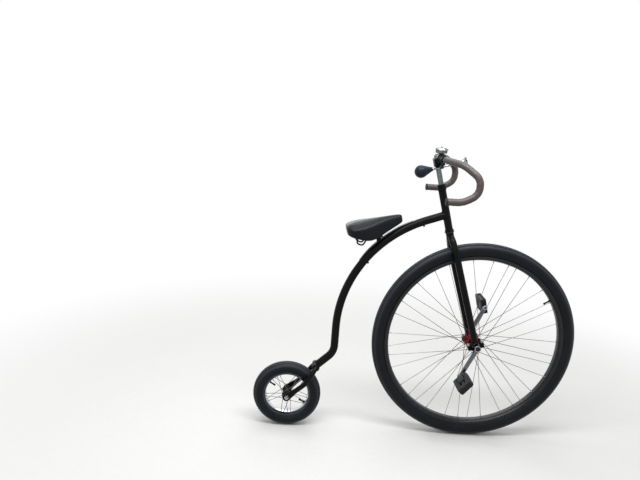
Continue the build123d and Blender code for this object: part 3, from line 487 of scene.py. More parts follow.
def tyreRows():
    # angle from the crown, whether the sipes cross it, and how far it is cut in
    groove, step, under = tread["grooveDepth"], tread["step"], tread["stepDepth"]
    half = [(0, True, 0), (7, True, 0), (8.2, True, groove * 0.6), (10.4, True, groove * 0.6)]
    half += [(11.6, True, 0), (17, True, 0), (25, True, 0), (31, True, 0)]
    half += [(step, False, 0.2), (step + 1.6, False, groove), (40.4, False, groove), (42, False, 0.1)]
    half += [(47, False, 0), (54, False, 0), (62, False, 0), (68, False, 0.1)]
    half += [(70, False, under * 0.4), (76, False, under * 0.4), (78, False, 0.4), (84, False, 0.5)]
    half += [(88, False, 0.5), (90, False, 0.1), (92, False, 0.5)]
    half += [(98, False, 0.4), (105, False, 0.5)]
    return [(-angle, cut, depth) for angle, cut, depth in half[:0:-1]] + half


def makeTyre(name, tyre):
    centre, rimEdge, repeats = tyre["centre"], tyre["rimEdge"], tyre["repeats"]
    radius = tyre["width"] / 2
    ringRadius = tyre["outer"] - radius
    rows = []
    for angle, cut, depth in tyreRows():
        size = radius - depth
        rows.append((ringRadius + size * cos(radians(angle)), size * sin(radians(angle)), angle, cut))
    tuck = [(rimEdge + 11, 0.93), (rimEdge + 6, 0.84), (rimEdge + 2.5, 0.745)]
    tuck += [(rimEdge + 0.6, 0.69), (rimEdge - 3, 0.67)]
    low = [(height, -radius * share, -120, False) for height, share in reversed(tuck)]
    high = [(height, radius * share, 120, False) for height, share in tuck]
    rows = low + rows + high
    bm = bmesh.new()
    dustAndShade = bm.verts.layers.float.new("dustAndShade")
    rings = []
    for repeat in range(repeats):
        for part, share in enumerate(tread["columns"]):
            ring = []
            for height, across, angle, cut in rows:
                shift = tread["slant"] * abs(angle) / tread["step"] if cut else tread["slant"]
                turn = 2 * pi * (repeat + share + shift) / repeats
                size = height
                if cut and part >= tread["sipeFrom"] and abs(angle) > 15:
                    size -= tread["sipeDepth"]
                elif cut and part >= tread["sipeFrom"] and abs(angle) > 8:
                    size -= tread["sipeDepth"] * 0.4
                vert = bm.verts.new(centre + Vector((size * sin(turn), across, size * cos(turn))))
                vert[dustAndShade] = min(max((tread["dustEdge"] - abs(angle)) / tread["dustFade"], 0), 1)
                ring.append(vert)
            rings.append(ring)
    for a, b in zip(rings, rings[1:] + rings[:1]):
        for step in range(len(rows) - 1):
            bm.faces.new((a[step], a[step + 1], b[step + 1], b[step]))
        bm.faces.new((a[-1], a[0], b[0], b[-1]))
    addPiece(name, bm, tyre["body"], finishes["tyreRubber"], [tyre["node"]], 24)


for name, tyre in tyres.items():
    makeTyre(name, tyre)
print("penny farthing: tyres made")


# Rims: rolled box section with hooked flanges and a spoke bed
rims = {
    "frontRim": {
        "centre": wheels["frontAxle"], "inner": 383, "height": 19, "width": 45, "around": 300,
        "finish": "rimAnodised", "slot": "black_rim", "node": "front_rim", "body": "front_wheel",
    },
    "rearRim": {
        "centre": wheels["rearAxle"], "inner": 94, "height": 15, "width": 38, "around": 144,
        "finish": "rimChrome", "slot": "chrome", "node": "rear_rim", "body": "rear_wheel",
    },
}
for name, rim in rims.items():
    inner, height, width = rim["inner"], rim["height"], rim["width"]
    floor = inner + height * 0.55
    corners = [
        (inner, -width * 0.26), (inner, width * 0.26), (floor - 4.2, width / 2), (inner + height, width / 2),
        (inner + height, width / 2 - 2.4), (inner + height - 3, width / 2 - 2.8), (floor, width / 2 - 3.0),
        (floor - 0.6, 0), (floor, -width / 2 + 3.0), (inner + height - 3, -width / 2 + 2.8),
        (inner + height, -width / 2 + 2.4), (inner + height, -width / 2), (floor - 4.2, -width / 2),
    ]
    radii = [4, 4, 3.5, 1.0, 1.0, 1.0, 1.5, 8, 1.5, 1.0, 1.0, 1.0, 3.5]
    bm = bmesh.new()
    lathe(bm, softProfile(corners, radii, True), rim["centre"], left, rim["around"], True)
    addPiece(name, bm, rim["body"], finishes[rim["finish"]], [rim["node"]], 30)

# Spokes: bent into the flange with a head behind it, nipples at the rim
spoking = {
    "front": {
        "centre": wheels["frontAxle"], "count": 36, "holeR": 29.5, "flangeR": 34, "flangeY": 26,
        "flangeT": 3.4, "rimR": 383, "swing": 62, "node": "front_spokes", "body": "front_wheel",
    },
    "rear": {
        "centre": wheels["rearAxle"], "count": 20, "holeR": 18.5, "flangeR": 22, "flangeY": 26,
        "flangeT": 3.0, "rimR": 94, "swing": 50, "node": "rear_spokes", "body": "rear_wheel",
    },
}
wireR = 1.2
for wheel, lace in spoking.items():
    spokes = bmesh.new()
    nipples = bmesh.new()
    sideCount = lace["count"] // 2
    lay = lace["flangeT"] / 2 + wireR + 0.3
    for side in (1, -1):
        for index in range(sideCount):
            leading = 1 if index % 2 == 0 else -1
            holeAngle = radians(360 / sideCount * (index + side * 0.25))
            rimAngle = holeAngle + radians(leading * lace["swing"])
            edge = lay
            if leading > 0:
                edge += lace["flangeY"] * (lace["flangeR"] - lace["holeR"]) * 4 / lace["rimR"]
            outward = Vector((cos(holeAngle), 0, sin(holeAngle))) * lace["holeR"]
            elbow = lace["centre"] + outward + left * (side * (lace["flangeY"] + leading * edge))
            head = lace["centre"] + outward + left * (side * (lace["flangeY"] - leading * (lay + 0.2)))
            aim = Vector((cos(rimAngle), 0, sin(rimAngle))) * (lace["rimR"] - 1)
            end = lace["centre"] + aim + left * (side * (4 + leading * 0.3))
            tube(spokes, rounded([head, elbow, end], 2.4, 22), wireR, 8)
            toHead = (head - elbow).normalized()
            lathe(spokes, [(0, 0.9), (1.4, 0.7), (1.9, 0), (1.2, -0.6)], head, toHead, 10)
            inward = (elbow - end).normalized()
            shape = [(0, -1), (2.9, -1), (2.9, 0.6), (2.1, 1.2), (2.1, 9), (1.8, 10.5), (1.2, 11)]
            lathe(nipples, shape, end, inward, 10)
    # painted shade, tinted with a painted red reflection of the hub, where the wires leave the flange
    dustAndShade = spokes.verts.layers.float.new("dustAndShade")
    for vert in spokes.verts:
        away = Vector((vert.co.x - lace["centre"].x, 0, vert.co.z - lace["centre"].z)).length
        vert[dustAndShade] = min(max((lace["flangeR"] + 5 - away) / 6, 0), 1)
    addPiece(wheel + "Spokes", spokes, lace["body"], finishes["spokeWire"], [lace["node"]], 50)
    addPiece(wheel + "Nipples", nipples, lace["body"], finishes["nippleNickel"], (), 40)


# Hubs: turned shells with two drilled flanges
def makeHub(name, centre, corners, radii, finish, node, body):
    mirrored = [(r, -y) for r, y in reversed(corners)]
    bm = bmesh.new()
    lathe(bm, softProfile(corners + mirrored, radii + radii[::-1], True), centre, left, 72, True)
    addPiece(name, bm, body, finishes[finish], [node], 35)


makeHub(
    "frontHub", wheels["frontAxle"],
    [
        (8.8, -36.5), (17, -36.5), (17, -32), (18.5, -27.7), (34, -27.7), (34, -24.3), (24, -24.3),
        (20, -17), (20, -9), (18.5, -7),
    ],
    [0.5, 1.2, 1.5, 1.0, 1.2, 1.2, 2.0, 4, 1, 1], "hubAnodised", "front_hub", "front_wheel",
)
makeHub(
    "rearHub", wheels["rearAxle"],
    [
        (5.3, -37), (10, -37), (14, -35), (14, -27.5), (22, -27.5), (22, -24.5), (15, -24.5), (12, -17),
    ],
    [0.4, 1, 1.2, 0.8, 1.0, 1.0, 1.5, 4], "dullZinc", "rear_hub", "rear_wheel",
)

# Valves: rubber stems with their caps; the rear rim has a second stub across from its valve
valves = {
    # node, body, centre, radius of the rim, angles above the level
    "front": ("front_valve", "front_wheel", wheels["frontAxle"], 383, (34,)),
    "rear": ("rear_valve", "rear_wheel", wheels["rearAxle"], 94, (149, 332)),
}
for wheel, (node, body, centre, rimR, angles) in valves.items():
    bm = bmesh.new()
    for angle in angles:
        out = Vector((cos(radians(angle)), 0, sin(radians(angle))))
        shape = [(0, -1), (5.0, -1), (4.9, 1.5), (4.0, 4), (3.4, 12), (3.3, 19), (4.2, 19.6)]
        shape += [(4.4, 21), (4.4, 28), (3.6, 29.6), (0, 29.9)]
        lathe(bm, shape, centre + out * (rimR - 0.3), -out, 20)
    addPiece(wheel + "Valve", bm, body, finishes["valveRubber"], [node], 35)
print("penny farthing: wheels made")


# Frame tubes
backbone = {
    "radius": 17.5, "joint": 600.5, "slope": 20.5, "backX": -622, "bend": 545, "kinkZ": 368, "kinkBend": 75,
}
backboneEnd = Vector((-712, 0, 282))
joint = onSteering(0, 0, backbone["joint"])
run = backbone["backX"] - joint.x
corner = Vector((backbone["backX"], 0, joint.z + run * tan(radians(backbone["slope"]))))
kinkCorner = Vector((backbone["backX"], 0, backbone["kinkZ"]))
bendCentre = Vector((
    corner.x + backbone["bend"], 0, corner.z - backbone["bend"] * tan(radians(90 - backbone["slope"]) / 2)
))
backbonePath = rounded(
    [joint, corner, kinkCorner, backboneEnd], [0, backbone["bend"], backbone["kinkBend"], 0], 2.0
)
bm = bmesh.new()
tube(bm, backbonePath, backbone["radius"], 40)
# bosses under the tube
for angle in (112.5, 144.4):
    out = Vector((cos(radians(angle)), 0, sin(radians(angle))))
    foot = bendCentre + out * (backbone["bend"] - backbone["radius"] + 1)
    lathe(bm, [(6, -1), (5.2, 1), (4.2, 2), (4, 5.4), (3.4, 6), (2.2, 6), (2.2, 4), (0, 4)], foot, -out, 24)
addPiece("backbone", bm, "frame", finishes["powderCoat"], ["backbone"])

headTube = {"inner": 14.5, "outer": 16.5, "foot": 535, "top": 709, "weldHalf": 16.2}
bm = bmesh.new()
shape = [(headTube[side], headTube["foot"]) for side in ("inner", "outer")]
shape += [(headTube[side], headTube["top"]) for side in ("outer", "inner")]
shape = softProfile(shape, 0.6, True)
lathe(bm, shape, steerFoot, steerUp, 48, True)
# rippled weld where the backbone meets it
down = (corner - joint).normalized()
across = down.cross(left).normalized()
weld = []
for step in range(72):
    angle = 2 * pi * step / 72
    out = headTube["weldHalf"] * sin(angle)
    sunk = sqrt(max(headTube["outer"] ** 2 - out ** 2, 0.5))
    # slide along the backbone until the point meets the head tube
    level = joint + across * (backbone["radius"] * cos(angle)) + left * out
    back = (level - joint).dot(steerForward)
    slide = (-sunk - back) / down.dot(steerForward)
    weld.append(level + down * slide)
weld = evenly(weld + weld[:1], 1.1)[:-1]
tube(bm, weld, lambda index, angle: 2.1 + 0.35 * (index % 3 == 0), 8, True)
addPiece("headTube", bm, "frame", finishes["powderCoat"], ["head_tube"])

# Headset: cups with a lip, a bright race and the locknut
bm = bmesh.new()
lower = [(13.6, 534.9), (16.6, 534.9), (19, 533.6), (19, 528.6), (18, 526.9), (13.6, 526.9)]
lathe(bm, softProfile(lower, 0.8, True), steerFoot, steerUp, 48, True)
upper = [(13.6, 709.1), (16.6, 709.1), (19, 710.6), (19, 715.6), (18, 717.1), (13.6, 717.1)]
lathe(bm, softProfile(upper, 0.8, True), steerFoot, steerUp, 48, True)
addPiece("headsetCups", bm, "frame", finishes["blackOxide"], ["headset_cups"])
bm = bmesh.new()
race = [(12.9, 522.7), (21, 522.7), (21, 525), (18, 526.7), (12.9, 526.7)]
lathe(bm, softProfile(race, 0.6, True), steerFoot, steerUp, 48, True)
addPiece("crownRace", bm, "steering", finishes["dullZinc"], ["crown_race"])
bm = bmesh.new()
ring = [(12.9, 717.6), (18, 717.6), (18, 725), (16.5, 725.4), (12.9, 725.4)]
lathe(bm, softProfile(ring, 0.7, True), steerFoot, steerUp, 48, True)
plate(
    bm, circle(17 / cos(radians(22.5)), 8, start=22.5), onSteering(0, 0, 730), steerForward, left, 9, 0.9,
)
addPiece("locknut", bm, "steering", finishes["blackOxide"], ["locknut"])

# Rear fork: two bent legs with flat ends, and a boss across the foot of the backbone
endDir = (backboneEnd - kinkCorner).normalized()
rearBend = Vector((-746, 0, 220))
rearDown = (wheels["rearAxle"] - rearBend).normalized()
bm = bmesh.new()
for side in (1, -1):
    legTop = backboneEnd - endDir * 18 + left * (side * 21.5)
    legMid = backboneEnd + left * (side * 47) - upright * 8
    legFoot = wheels["rearAxle"] - rearDown * 42 + left * (side * 46)
    legPath = evenly(rounded([legTop, legMid, rearBend + left * (side * 46), legFoot], 60, 5), 6)
    tube(bm, legPath, 11, 28)
    # pressed flat end
    tip = circle(18, 20, start=100, sweep=160)
    shape = [(52, -11), (52, 11)] + tip
    forwardWay = -rearDown
    sideWay = forwardWay.cross(left)
    plate(bm, shape, wheels["rearAxle"] + left * (side * 46), forwardWay, sideWay, 6, 1.0)
cross = backboneEnd - endDir * 18
shape = softProfile([(0, -27.5), (17.2, -27.5), (17.2, 27.5), (0, 27.5)], [0, 3, 3, 0])
lathe(bm, shape, cross, left, 36)
addPiece("rearFork", bm, "frame", finishes["powderCoat"], ["rear_fork"])

# Axle nuts: washer, flanged hexagon and cones inside
bm = bmesh.new()
for side in (1, -1):
    start = wheels["rearAxle"] + left * (side * 49.3)
    out = left * side
    lathe(bm, softProfile([(5.1, 0), (9.3, 0), (9.3, 1.6), (5.1, 1.6)], 0.3, True), start, out, 32, True)
    hexagon = circle(7.5 / cos(radians(30)), 6, start=12)
    plate(bm, hexagon, start + out * 4.9, Vector((1, 0, 0)), Vector((0, 0, 1)), 6.4, 0.9)
    lathe(bm, softProfile([(5.1, 7.4), (7.1, 7.4), (6.6, 9), (5.1, 9)], 0.3, True), start, out, 32, True)
    inner = wheels["rearAxle"] + left * (side * 42.7)
    cone = softProfile([(5.1, 0), (8.2, 0), (8.2, 3), (6.8, 5.4), (5.1, 5.4)], 0.3, True)
    lathe(bm, cone, inner, -out, 32, True)
addPiece("rearAxleNuts", bm, "frame", finishes["chromePlate"], ["rear_axle_nuts"])
print("penny farthing: frame made")


# Front fork
crownTop = onSteering(0, 0, 522.4)
legUp = (crownTop - wheels["frontAxle"]).normalized()
legForward = legUp.cross(-left)
crownHeight = (crownTop - wheels["frontAxle"]).length
forkLeg = {"spread": 51.5, "radius": 14.5, "bends": [0, 45, 60, 200, 0]}
bm = bmesh.new()
for side in (1, -1):
    stops = [
        (4.0, crownHeight - forkLeg["radius"] - 2), (forkLeg["spread"] * 0.6, 487),
        (forkLeg["spread"] + 2.5, 440), (forkLeg["spread"], 367), (forkLeg["spread"], 21.5),
    ]
    corners = [wheels["frontAxle"] + legUp * up + left * (side * out) for out, up in stops]
    tube(bm, rounded(corners, forkLeg["bends"], 4), forkLeg["radius"], 36)
crownFoot = 463 - crownHeight
shape = softProfile([(0, 0), (17, 0), (17, crownFoot), (0, crownFoot)], [0, 2, 6, 0])
lathe(bm, shape, crownTop, steerUp, 48)
lathe(bm, [(0, -2), (12.7, -2), (12.7, 213), (0, 213)], crownTop, steerUp, 32)
addPiece("fork", bm, "steering", finishes["powderCoat"], ["fork"])

# Flanged bolts on the bearing holders
bm = bmesh.new()
for side in (1, -1):
    for fore in (1, -1):
        seatPoint = wheels["frontAxle"] + legForward * (fore * 29) + left * (side * 51.5) + legUp * 11.8
        flange = softProfile([(0, 0), (6.8, 0), (6.0, 1.8), (0, 1.8)], [0, 0.3, 0.3, 0])
        lathe(bm, flange, seatPoint, legUp, 24)
        hexagon = circle(5.4 / cos(radians(30)), 6, start=20)
        plate(bm, hexagon, seatPoint + legUp * 4.9, legForward, left, 6.6, 0.9)
addPiece("holderBolts", bm, "steering", finishes["chromePlate"], ["holder_bolts"])

# Crank bolts at the bottom of the puller recesses, with a dark cup lining each recess as painted shade
crank = {"face": 87, "length": 150, "angle": 24}
crankAngle = radians(crank["angle"])
crankDir = Vector((-sin(crankAngle), 0, -cos(crankAngle)))
bm = bmesh.new()
for side in (1, -1):
    out = left * side
    start = wheels["frontAxle"] + out * (crank["face"] - 8.8)
    cup = [(0, 0), (10.85, 0), (10.85, 8.2), (10.2, 8.2), (9.7, 1.0), (8.6, 0.8), (8.4, 2.0), (0, 2.2)]
    lathe(bm, cup, start, out, 36)
    plate(bm, circle(7.2, 6, start=10), start + out * 3.8, Vector((1, 0, 0)), upright, 3.6, 0.7)
addPiece("crankBoltsAndRecessShade", bm, "front_wheel", finishes["agedSteelAndShade"], ["crank_bolts"])
# bright turned edge round each recess
bm = bmesh.new()
for side in (1, -1):
    edge = softProfile([(10.9, -0.6), (10.9, 0.2), (12.0, 0.7), (13.4, 0.5), (13.9, -0.6)], 0.2, True)
    lathe(bm, edge, wheels["frontAxle"] + left * (side * crank["face"]), left * side, 48, True)
addPiece("crankRims", bm, "front_wheel", finishes["chromePlate"])

# Pedal spindles: collar outside the crank, a washer inside round the socketed end
bm = bmesh.new()
sockets = bmesh.new()
for side in (1, -1):
    out = left * side
    root = wheels["frontAxle"] - crankDir * (crank["length"] * side) + out * (crank["face"] - 12)
    shaft = [(0, 5), (4.7, 5), (4.7, 0.4), (5.2, 0), (5.5, 0.3), (5.5, 12.3), (8, 12.4)]
    shaft += [(8, 15.1), (5.5, 15.3), (5.5, 109.6), (0, 110)]
    lathe(bm, shaft, root, out, 28)
    washer = softProfile([(5.7, 0), (5.7, -1.5), (10.4, -1.5), (10.8, 0)], [0, 0.3, 1.0, 0], True)
    lathe(bm, washer, root, out, 36, True)
    # a dark disc in each spindle end: painted shade for the socket
    lathe(sockets, [(0, 1.4), (4.6, 1.4), (4.6, 4.9), (0, 4.9)], root, out, 24)
addPiece("pedalSpindles", bm, "front_wheel", finishes["chromePlate"], ["pedal_spindles"])
addPiece("spindleSocketShade", sockets, "front_wheel", finishes["agedSteelAndShade"])

# Quill
bm = bmesh.new()
lathe(bm, [(0, 605), (11.1, 605), (11.1, 824), (0, 824)], steerFoot, steerUp, 40)
addPiece("quill", bm, "steering", finishes["greyPlate"], ["quill"])

# Handlebar, tape and plugs
bar = {
    "centre": Vector((-240, 0, 1266)), "half": 208, "reach": 120, "drop": 151, "radius": 12.7,
    "tapeFrom": 88, "tapePitch": 21.0, "bends": [0, 85, 90, 49, 50, 95, 0],
}


def barPath(side):
    reach, drop, half = bar["reach"], bar["drop"], bar["half"]
    stops = [
        (0, 0, 0), (0, 75, 0), (reach / 2, half - 44, -drop * 0.06), (reach, half, -drop * 0.36),
        (reach, half, -drop * 0.77), (reach / 2, half, -drop), (-1, half, -drop),
    ]
    corners = [bar["centre"] + Vector((forward, side * out, up)) for forward, out, up in stops]
    return rounded(corners, bar["bends"], 4)


bm = bmesh.new()
for side in (1, -1):
    tube(bm, evenly(barPath(side), 5), bar["radius"], 28)
addPiece("handlebar", bm, "steering", finishes["polishedAlloy"], ["handlebar"])

# black sleeve over the thick middle of the bar, open at the horn's clamp
bm = bmesh.new()
for start, end in ((-73, -41.4), (-30.6, -22.6), (22.6, 73)):
    sleeve = softProfile([(12.75, start), (13.3, start), (13.3, end), (12.75, end)], 0.2, True)
    lathe(bm, sleeve, bar["centre"], left, 36, True)
addPiece("barSleeve", bm, "steering", finishes["blackOxide"])

bm = bmesh.new()
for side in (1, -1):
    path = [point for point in evenly(barPath(side), 1.5) if abs(point.y) >= bar["tapeFrom"]]
    lengthSoFar = [0.0]
    for a, b in zip(path, path[1:]):
        lengthSoFar.append(lengthSoFar[-1] + (b - a).length)

    def wrap(index, angle, lengthSoFar=lengthSoFar, side=side, last=len(path) - 1):
        # each turn of tape starts as a step and thins out under the next one
        turn = (lengthSoFar[index] / bar["tapePitch"] + side * angle / (2 * pi)) % 1.0
        ramp = min(turn / 0.07, 1.0)
        size = 14.0 + 0.7 * ramp * (1 - 0.8 * turn)
        if index < 2 or index > last - 2:
            size -= 0.8
        return size

    tube(bm, path, wrap, 32)
addPiece("barTape", bm, "steering", finishes["corkTape"], ["bar_tape"], 60)
bm = bmesh.new()
for side in (1, -1):
    tip = bar["centre"] + Vector((-1.3, side * bar["half"], -bar["drop"]))
    shape = [(0, -3), (12, -3), (15.5, 0), (15.5, 4), (12.5, 6), (9, 6), (8, 5), (0, 5)]
    shape = softProfile(shape, [0, 0.5, 0.6, 1.5, 1.5, 0.6, 0.6, 0])
    lathe(bm, shape, tip, Vector((-1, 0, 0)), 36)
addPiece("barPlugs", bm, "steering", finishes["plugPlastic"], ["bar_plugs"])
print("penny farthing: steering made")

# Bulb horn
horn = {"tilt": 16.5, "fromBar": Vector((0, -36, -33)), "bands": (-30, 50), "bulbR": 27, "bulbAlong": -87.3}
hornTilt = radians(horn["tilt"])
hornDir = Vector((cos(hornTilt), 0, sin(hornTilt)))
hornMid = bar["centre"] + horn["fromBar"]
outer = [(0, -38), (5.6, -38), (5.6, -34), (5, -33), (5, 44), (5.3, 56), (6.4, 68), (8.4, 80)]
outer += [(11.3, 90), (15, 97.5), (19, 101.8)]
lip = [(21.2, 102.2), (22.2, 103.0), (22.0, 104), (20.8, 104.2), (20.2, 103.2)]
inner = [(18.0, 102.6), (13.8, 98.6), (10.1, 91), (7.2, 81), (5.0, 69), (3.9, 57), (3.5, 46), (0, 45)]
bm = bmesh.new()
lathe(bm, outer + lip + inner, hornMid, hornDir, 64)
for start in horn["bands"]:
    band = softProfile([(4.9, start), (6.3, start), (6.3, start + 3), (4.9, start + 3)], 0.8, True)
    lathe(bm, band, hornMid, hornDir, 32, True)
addPiece("hornTrumpet", bm, "steering", finishes["chromePlate"], ["horn_trumpet"], 50)
bm = bmesh.new()
ball = [(0, -38.3), (7.6, -38.3), (9.0, -38.8), (9.2, -40.4), (8.8, -41.4), (8.9, -42.5)]
ball += [(12.2, -49.5), (16.6, -59), (21, -68.6)]
for step in range(22):
    angle = radians(24.5 - 5.45 * step)
    ball.append((max(horn["bulbR"] * cos(angle), 0), horn["bulbAlong"] + horn["bulbR"] * sin(angle)))
lathe(bm, ball, hornMid, hornDir, 48)
addPiece("hornBulb", bm, "steering", finishes["bulbRubber"], ["horn_bulb"], 50)

# Bell: strap round the clamp, stepped drum, and a domed shell with a rolled edge
bellFoot = bar["centre"] + upright * 19.3
bm = bmesh.new()
drum = [(0, 0), (13, 0), (14.5, 1.2), (22.5, 1.8), (24.4, 3.0), (24.8, 13.2), (23.6, 14.3)]
drum += [(4, 14.4), (4, 21), (0, 21)]
lathe(bm, drum, bellFoot, upright, 48)
strap = softProfile([(19.15, -19.5), (20.3, -19.5), (20.3, -13), (19.15, -13)], 0.4, True)
lathe(bm, strap, bar["centre"], left, 48, True)
addPiece("bellBase", bm, "steering", finishes["greyPlate"], ["bell_base"])
bm = bmesh.new()
dome = [(26.5, 14.7), (27.6, 14.8), (28, 15.6), (27.5, 16.4), (27.3, 18)]
for step in range(1, 12):
    angle = radians(90 * step / 12)
    dome.append((5 + 22.3 * cos(angle), 18 + 8.6 * sin(angle)))
dome += [(5.2, 26.6), (5.0, 28.4), (3.4, 29.5), (0, 29.8)]
under = [(0, 23.4), (5, 23.4)]
for step in range(11, 0, -1):
    angle = radians(90 * step / 12)
    under.append((5 + 20.7 * cos(angle), 16.8 + 6.8 * sin(angle)))
under += [(25.9, 15.6)]
lathe(bm, dome + under, bellFoot, upright, 64)
addPiece("bellDome", bm, "steering", finishes["chromePlate"], ["bell_dome"], 45)
print("penny farthing: horn and bell made")


# Pedals: moulded platform, a window crossed by the barrel, gripping studs and recessed ends
pedals = {
    # side, tilt and body of each
    "pedalRight": (-1, 50, "pedal_right"),
    "pedalLeft": (1, 105, "pedal_left"),
}
pedalBlocks = [
    # fore from, fore to, outward from, outward to, height, softened edge, corner
    (-35, 35, -50, -38, 24, 1.4, 7),
    (-35, 35, 29, 50, 24.6, 1.6, 9),
    (20, 30.5, -44, 36, 24, 1.0, 0),
    (-30.5, -20, -44, 36, 24, 1.0, 0),
    (-16, 16, -45, -2, 25, 1.4, 2),
    (14.6, 21, -6, 34, 22, 0.8, 0),
    (-21, -14.6, -6, 34, 22, 0.8, 0),
    (-21, 21, -5.5, -1, 22, 0.8, 0),
]
for name, (side, tilt, node) in pedals.items():
    middle = wheels["frontAxle"] + crankDir * (crank["length"] * -side) + left * (side * 141)
    fore = Vector((cos(radians(tilt)), 0, sin(radians(tilt))))
    thick = fore.cross(left)
    bm = bmesh.new()

    def block(x0, x1, out0, out1, height, soft, corner=0, lift=0.0):
        y0, y1 = sorted((side * out0, side * out1))
        corners = [Vector((x, y, 0)) for x, y in ((x0, y0), (x1, y0), (x1, y1), (x0, y1))]
        shape = [(p.x, p.y) for p in (rounded(corners, corner, 15, True) if corner else corners)]
        plate(bm, shape, middle + thick * lift, fore, left, height, soft)

    for shape in pedalBlocks:
        block(*shape)
    for end in (1, -1):
        x0, x1 = sorted((end * 29, end * 35))
        for face in (1, -1):
            # lips over the recess, and studs on both faces
            block(x0, x1, -42, 34, 5, 0.8, 0, face * 9.6)
            for step in range(6):
                out = -40 + step * 14
                block(end * 27.5 - 2.6, end * 27.5 + 2.6, out - 2.2, out + 2.2, 2.6, 0.5, 0, face * 11.7)
            for step in range(4):
                block(-24 + step * 14.5, -19.5 + step * 14.5, 40, 44, 2.0, 0.5, 0, face * 12.0)
        block(x0 - end, x1 - end * 4, -33, 33, 13, 0.5)
    barrel = softProfile([(5.9, -30), (8.5, -30), (8.5, 30), (5.9, 30)], 0.4, True)
    lathe(bm, barrel, middle, left, 28, True)
    addPiece(name, bm, node + "_body", finishes["pedalResin"], [node])

# Saddle
saddleTilt = radians(13)
saddleForward = Vector((cos(saddleTilt), 0, sin(saddleTilt)))
saddleUp = Vector((-sin(saddleTilt), 0, cos(saddleTilt)))


def onSaddle(forward, out, up):
    return saddleTop + saddleForward * forward + left * out + saddleUp * up


rail = [
    # forward, out and up
    (80, 7, -43.7), (71, 9, -50), (44, 14, -61), (30, 22, -70), (-40, 22, -80), (-62, 26, -106),
    (-86, 36, -91), (-75, 44, -50.7),
]
bm = bmesh.new()
for side in (1, -1):
    path = rounded([onSaddle(f, side * out, up) for f, out, up in rail], [0, 6, 10, 16, 20, 14, 14, 0], 8)
    tube(bm, path, 3.5, 16)
addPiece("saddleRails", bm, "frame", finishes["blackOxide"], ["saddle_rails"])

# The cushion: forward, half width, crown, shoulder and bottom heights
cushionRows = [
    (123.5, 7, -9, -20, -28),
    (121, 12, -4, -21, -34),
    (114, 16.5, -1, -22, -38),
    (100, 20, 0, -24, -44),
    (70, 26, 1, -27, -56),
    (38, 35, 1, -30, -69),
    (8, 48, 1, -32, -82),
    (-22, 63, 1, -33, -86),
    (-50, 75, 1, -32, -80),
    (-78, 81, 0, -29, -67),
    (-98, 78, -3, -27, -59),
    (-114, 66, -7, -25, -50),
    (-122, 52, -13, -25, -42),
]


def cushionSection(forward, half, crown, shoulder, bottom):
    # outer points from the centre of the top down one side
    fall = crown - shoulder
    skirt = shoulder - bottom
    return [
        (forward, 0, crown),
        (forward, half * 0.34, crown - fall * 0.05),
        (forward, half * 0.62, crown - fall * 0.20),
        (forward, half * 0.84, crown - fall * 0.50),
        (forward, half * 0.965, crown - fall * 0.84),
        (forward, half, shoulder - 2.5),
        (forward, half * 0.985, shoulder - 7 - skirt * 0.08),
        (forward, half * 0.945, shoulder - skirt * 0.58),
        (forward, half * 0.91, bottom + 2.0),
        (forward, half * 0.86, bottom),
        (forward, half * 0.76, bottom + 2.5),
    ]


bm = bmesh.new()
rings = []
for forward, half, crown, shoulder, bottom in cushionRows:
    section = cushionSection(forward, half, crown, shoulder, bottom)
    under = [(forward, half * 0.4, bottom * 0.45 - 12), (forward, 0, bottom * 0.45 - 10)]
    halfLoop = section + under
    loop = halfLoop + [(f, -out, up) for f, out, up in halfLoop[-2:0:-1]]
    rings.append([bm.verts.new(onSaddle(*point)) for point in loop])
bridge(bm, rings)
bm.faces.new(rings[0][::-1])
bm.faces.new(rings[-1])
vinyl = finishes["saddleVinyl"]
cushion = addPiece("saddleCushion", bm, "frame", vinyl, ["saddle_cushion"], 180)
subdivide = cushion.modifiers.new("smooth", "SUBSURF")
subdivide.levels = 3
subdivide.render_levels = 3
print("penny farthing: saddle made")


# Floor, light and camera
stage = {"floorZ": -0.992, "half": 40, "fadeFrom": 0.9, "fadeTo": 2.6, "worldLight": 0.3}
half, floorZ = stage["half"], stage["floorZ"]
corners = [(-half, -half, floorZ), (half, -half, floorZ), (half, half, floorZ), (-half, half, floorZ)]
floorMesh = bpy.data.meshes.new("floor")
floorMesh.from_pydata(corners, [], [(0, 1, 2, 3)])
floor = bpy.data.objects.new("floor", floorMesh)
bpy.context.scene.collection.objects.link(floor)
floorFinish = bpy.data.materials.new("paleFloor")
floorFinish.use_nodes = True
tree = floorFinish.node_tree
tree.nodes.clear()
where = addNode(tree, "ShaderNodeTexCoord").outputs["Object"]
flat = addNode(tree, "ShaderNodeVectorMath", {"operation": "SUBTRACT"}, {1: (0.1, 0, floorZ)}, {0: where})
far = addNode(tree, "ShaderNodeVectorMath", {"operation": "LENGTH"}, None, {0: flat.outputs["Vector"]})
fade = addNode(
    tree, "ShaderNodeMapRange", {"interpolation_type": "SMOOTHSTEP"},
    {"From Min": stage["fadeFrom"], "From Max": stage["fadeTo"]}, {"Value": far.outputs["Value"]},
)
speckle = addNode(tree, "ShaderNodeTexNoise", None, {"Scale": 60.0, "Detail": 4.0}, {"Vector": where})
tone = addNode(
    tree, "ShaderNodeMix", {"data_type": "RGBA"}, {6: linear("e9e9e7"), 7: linear("efefee")},
    {"Factor": speckle.outputs["Fac"]},
)
rays = addNode(tree, "ShaderNodeLightPath")
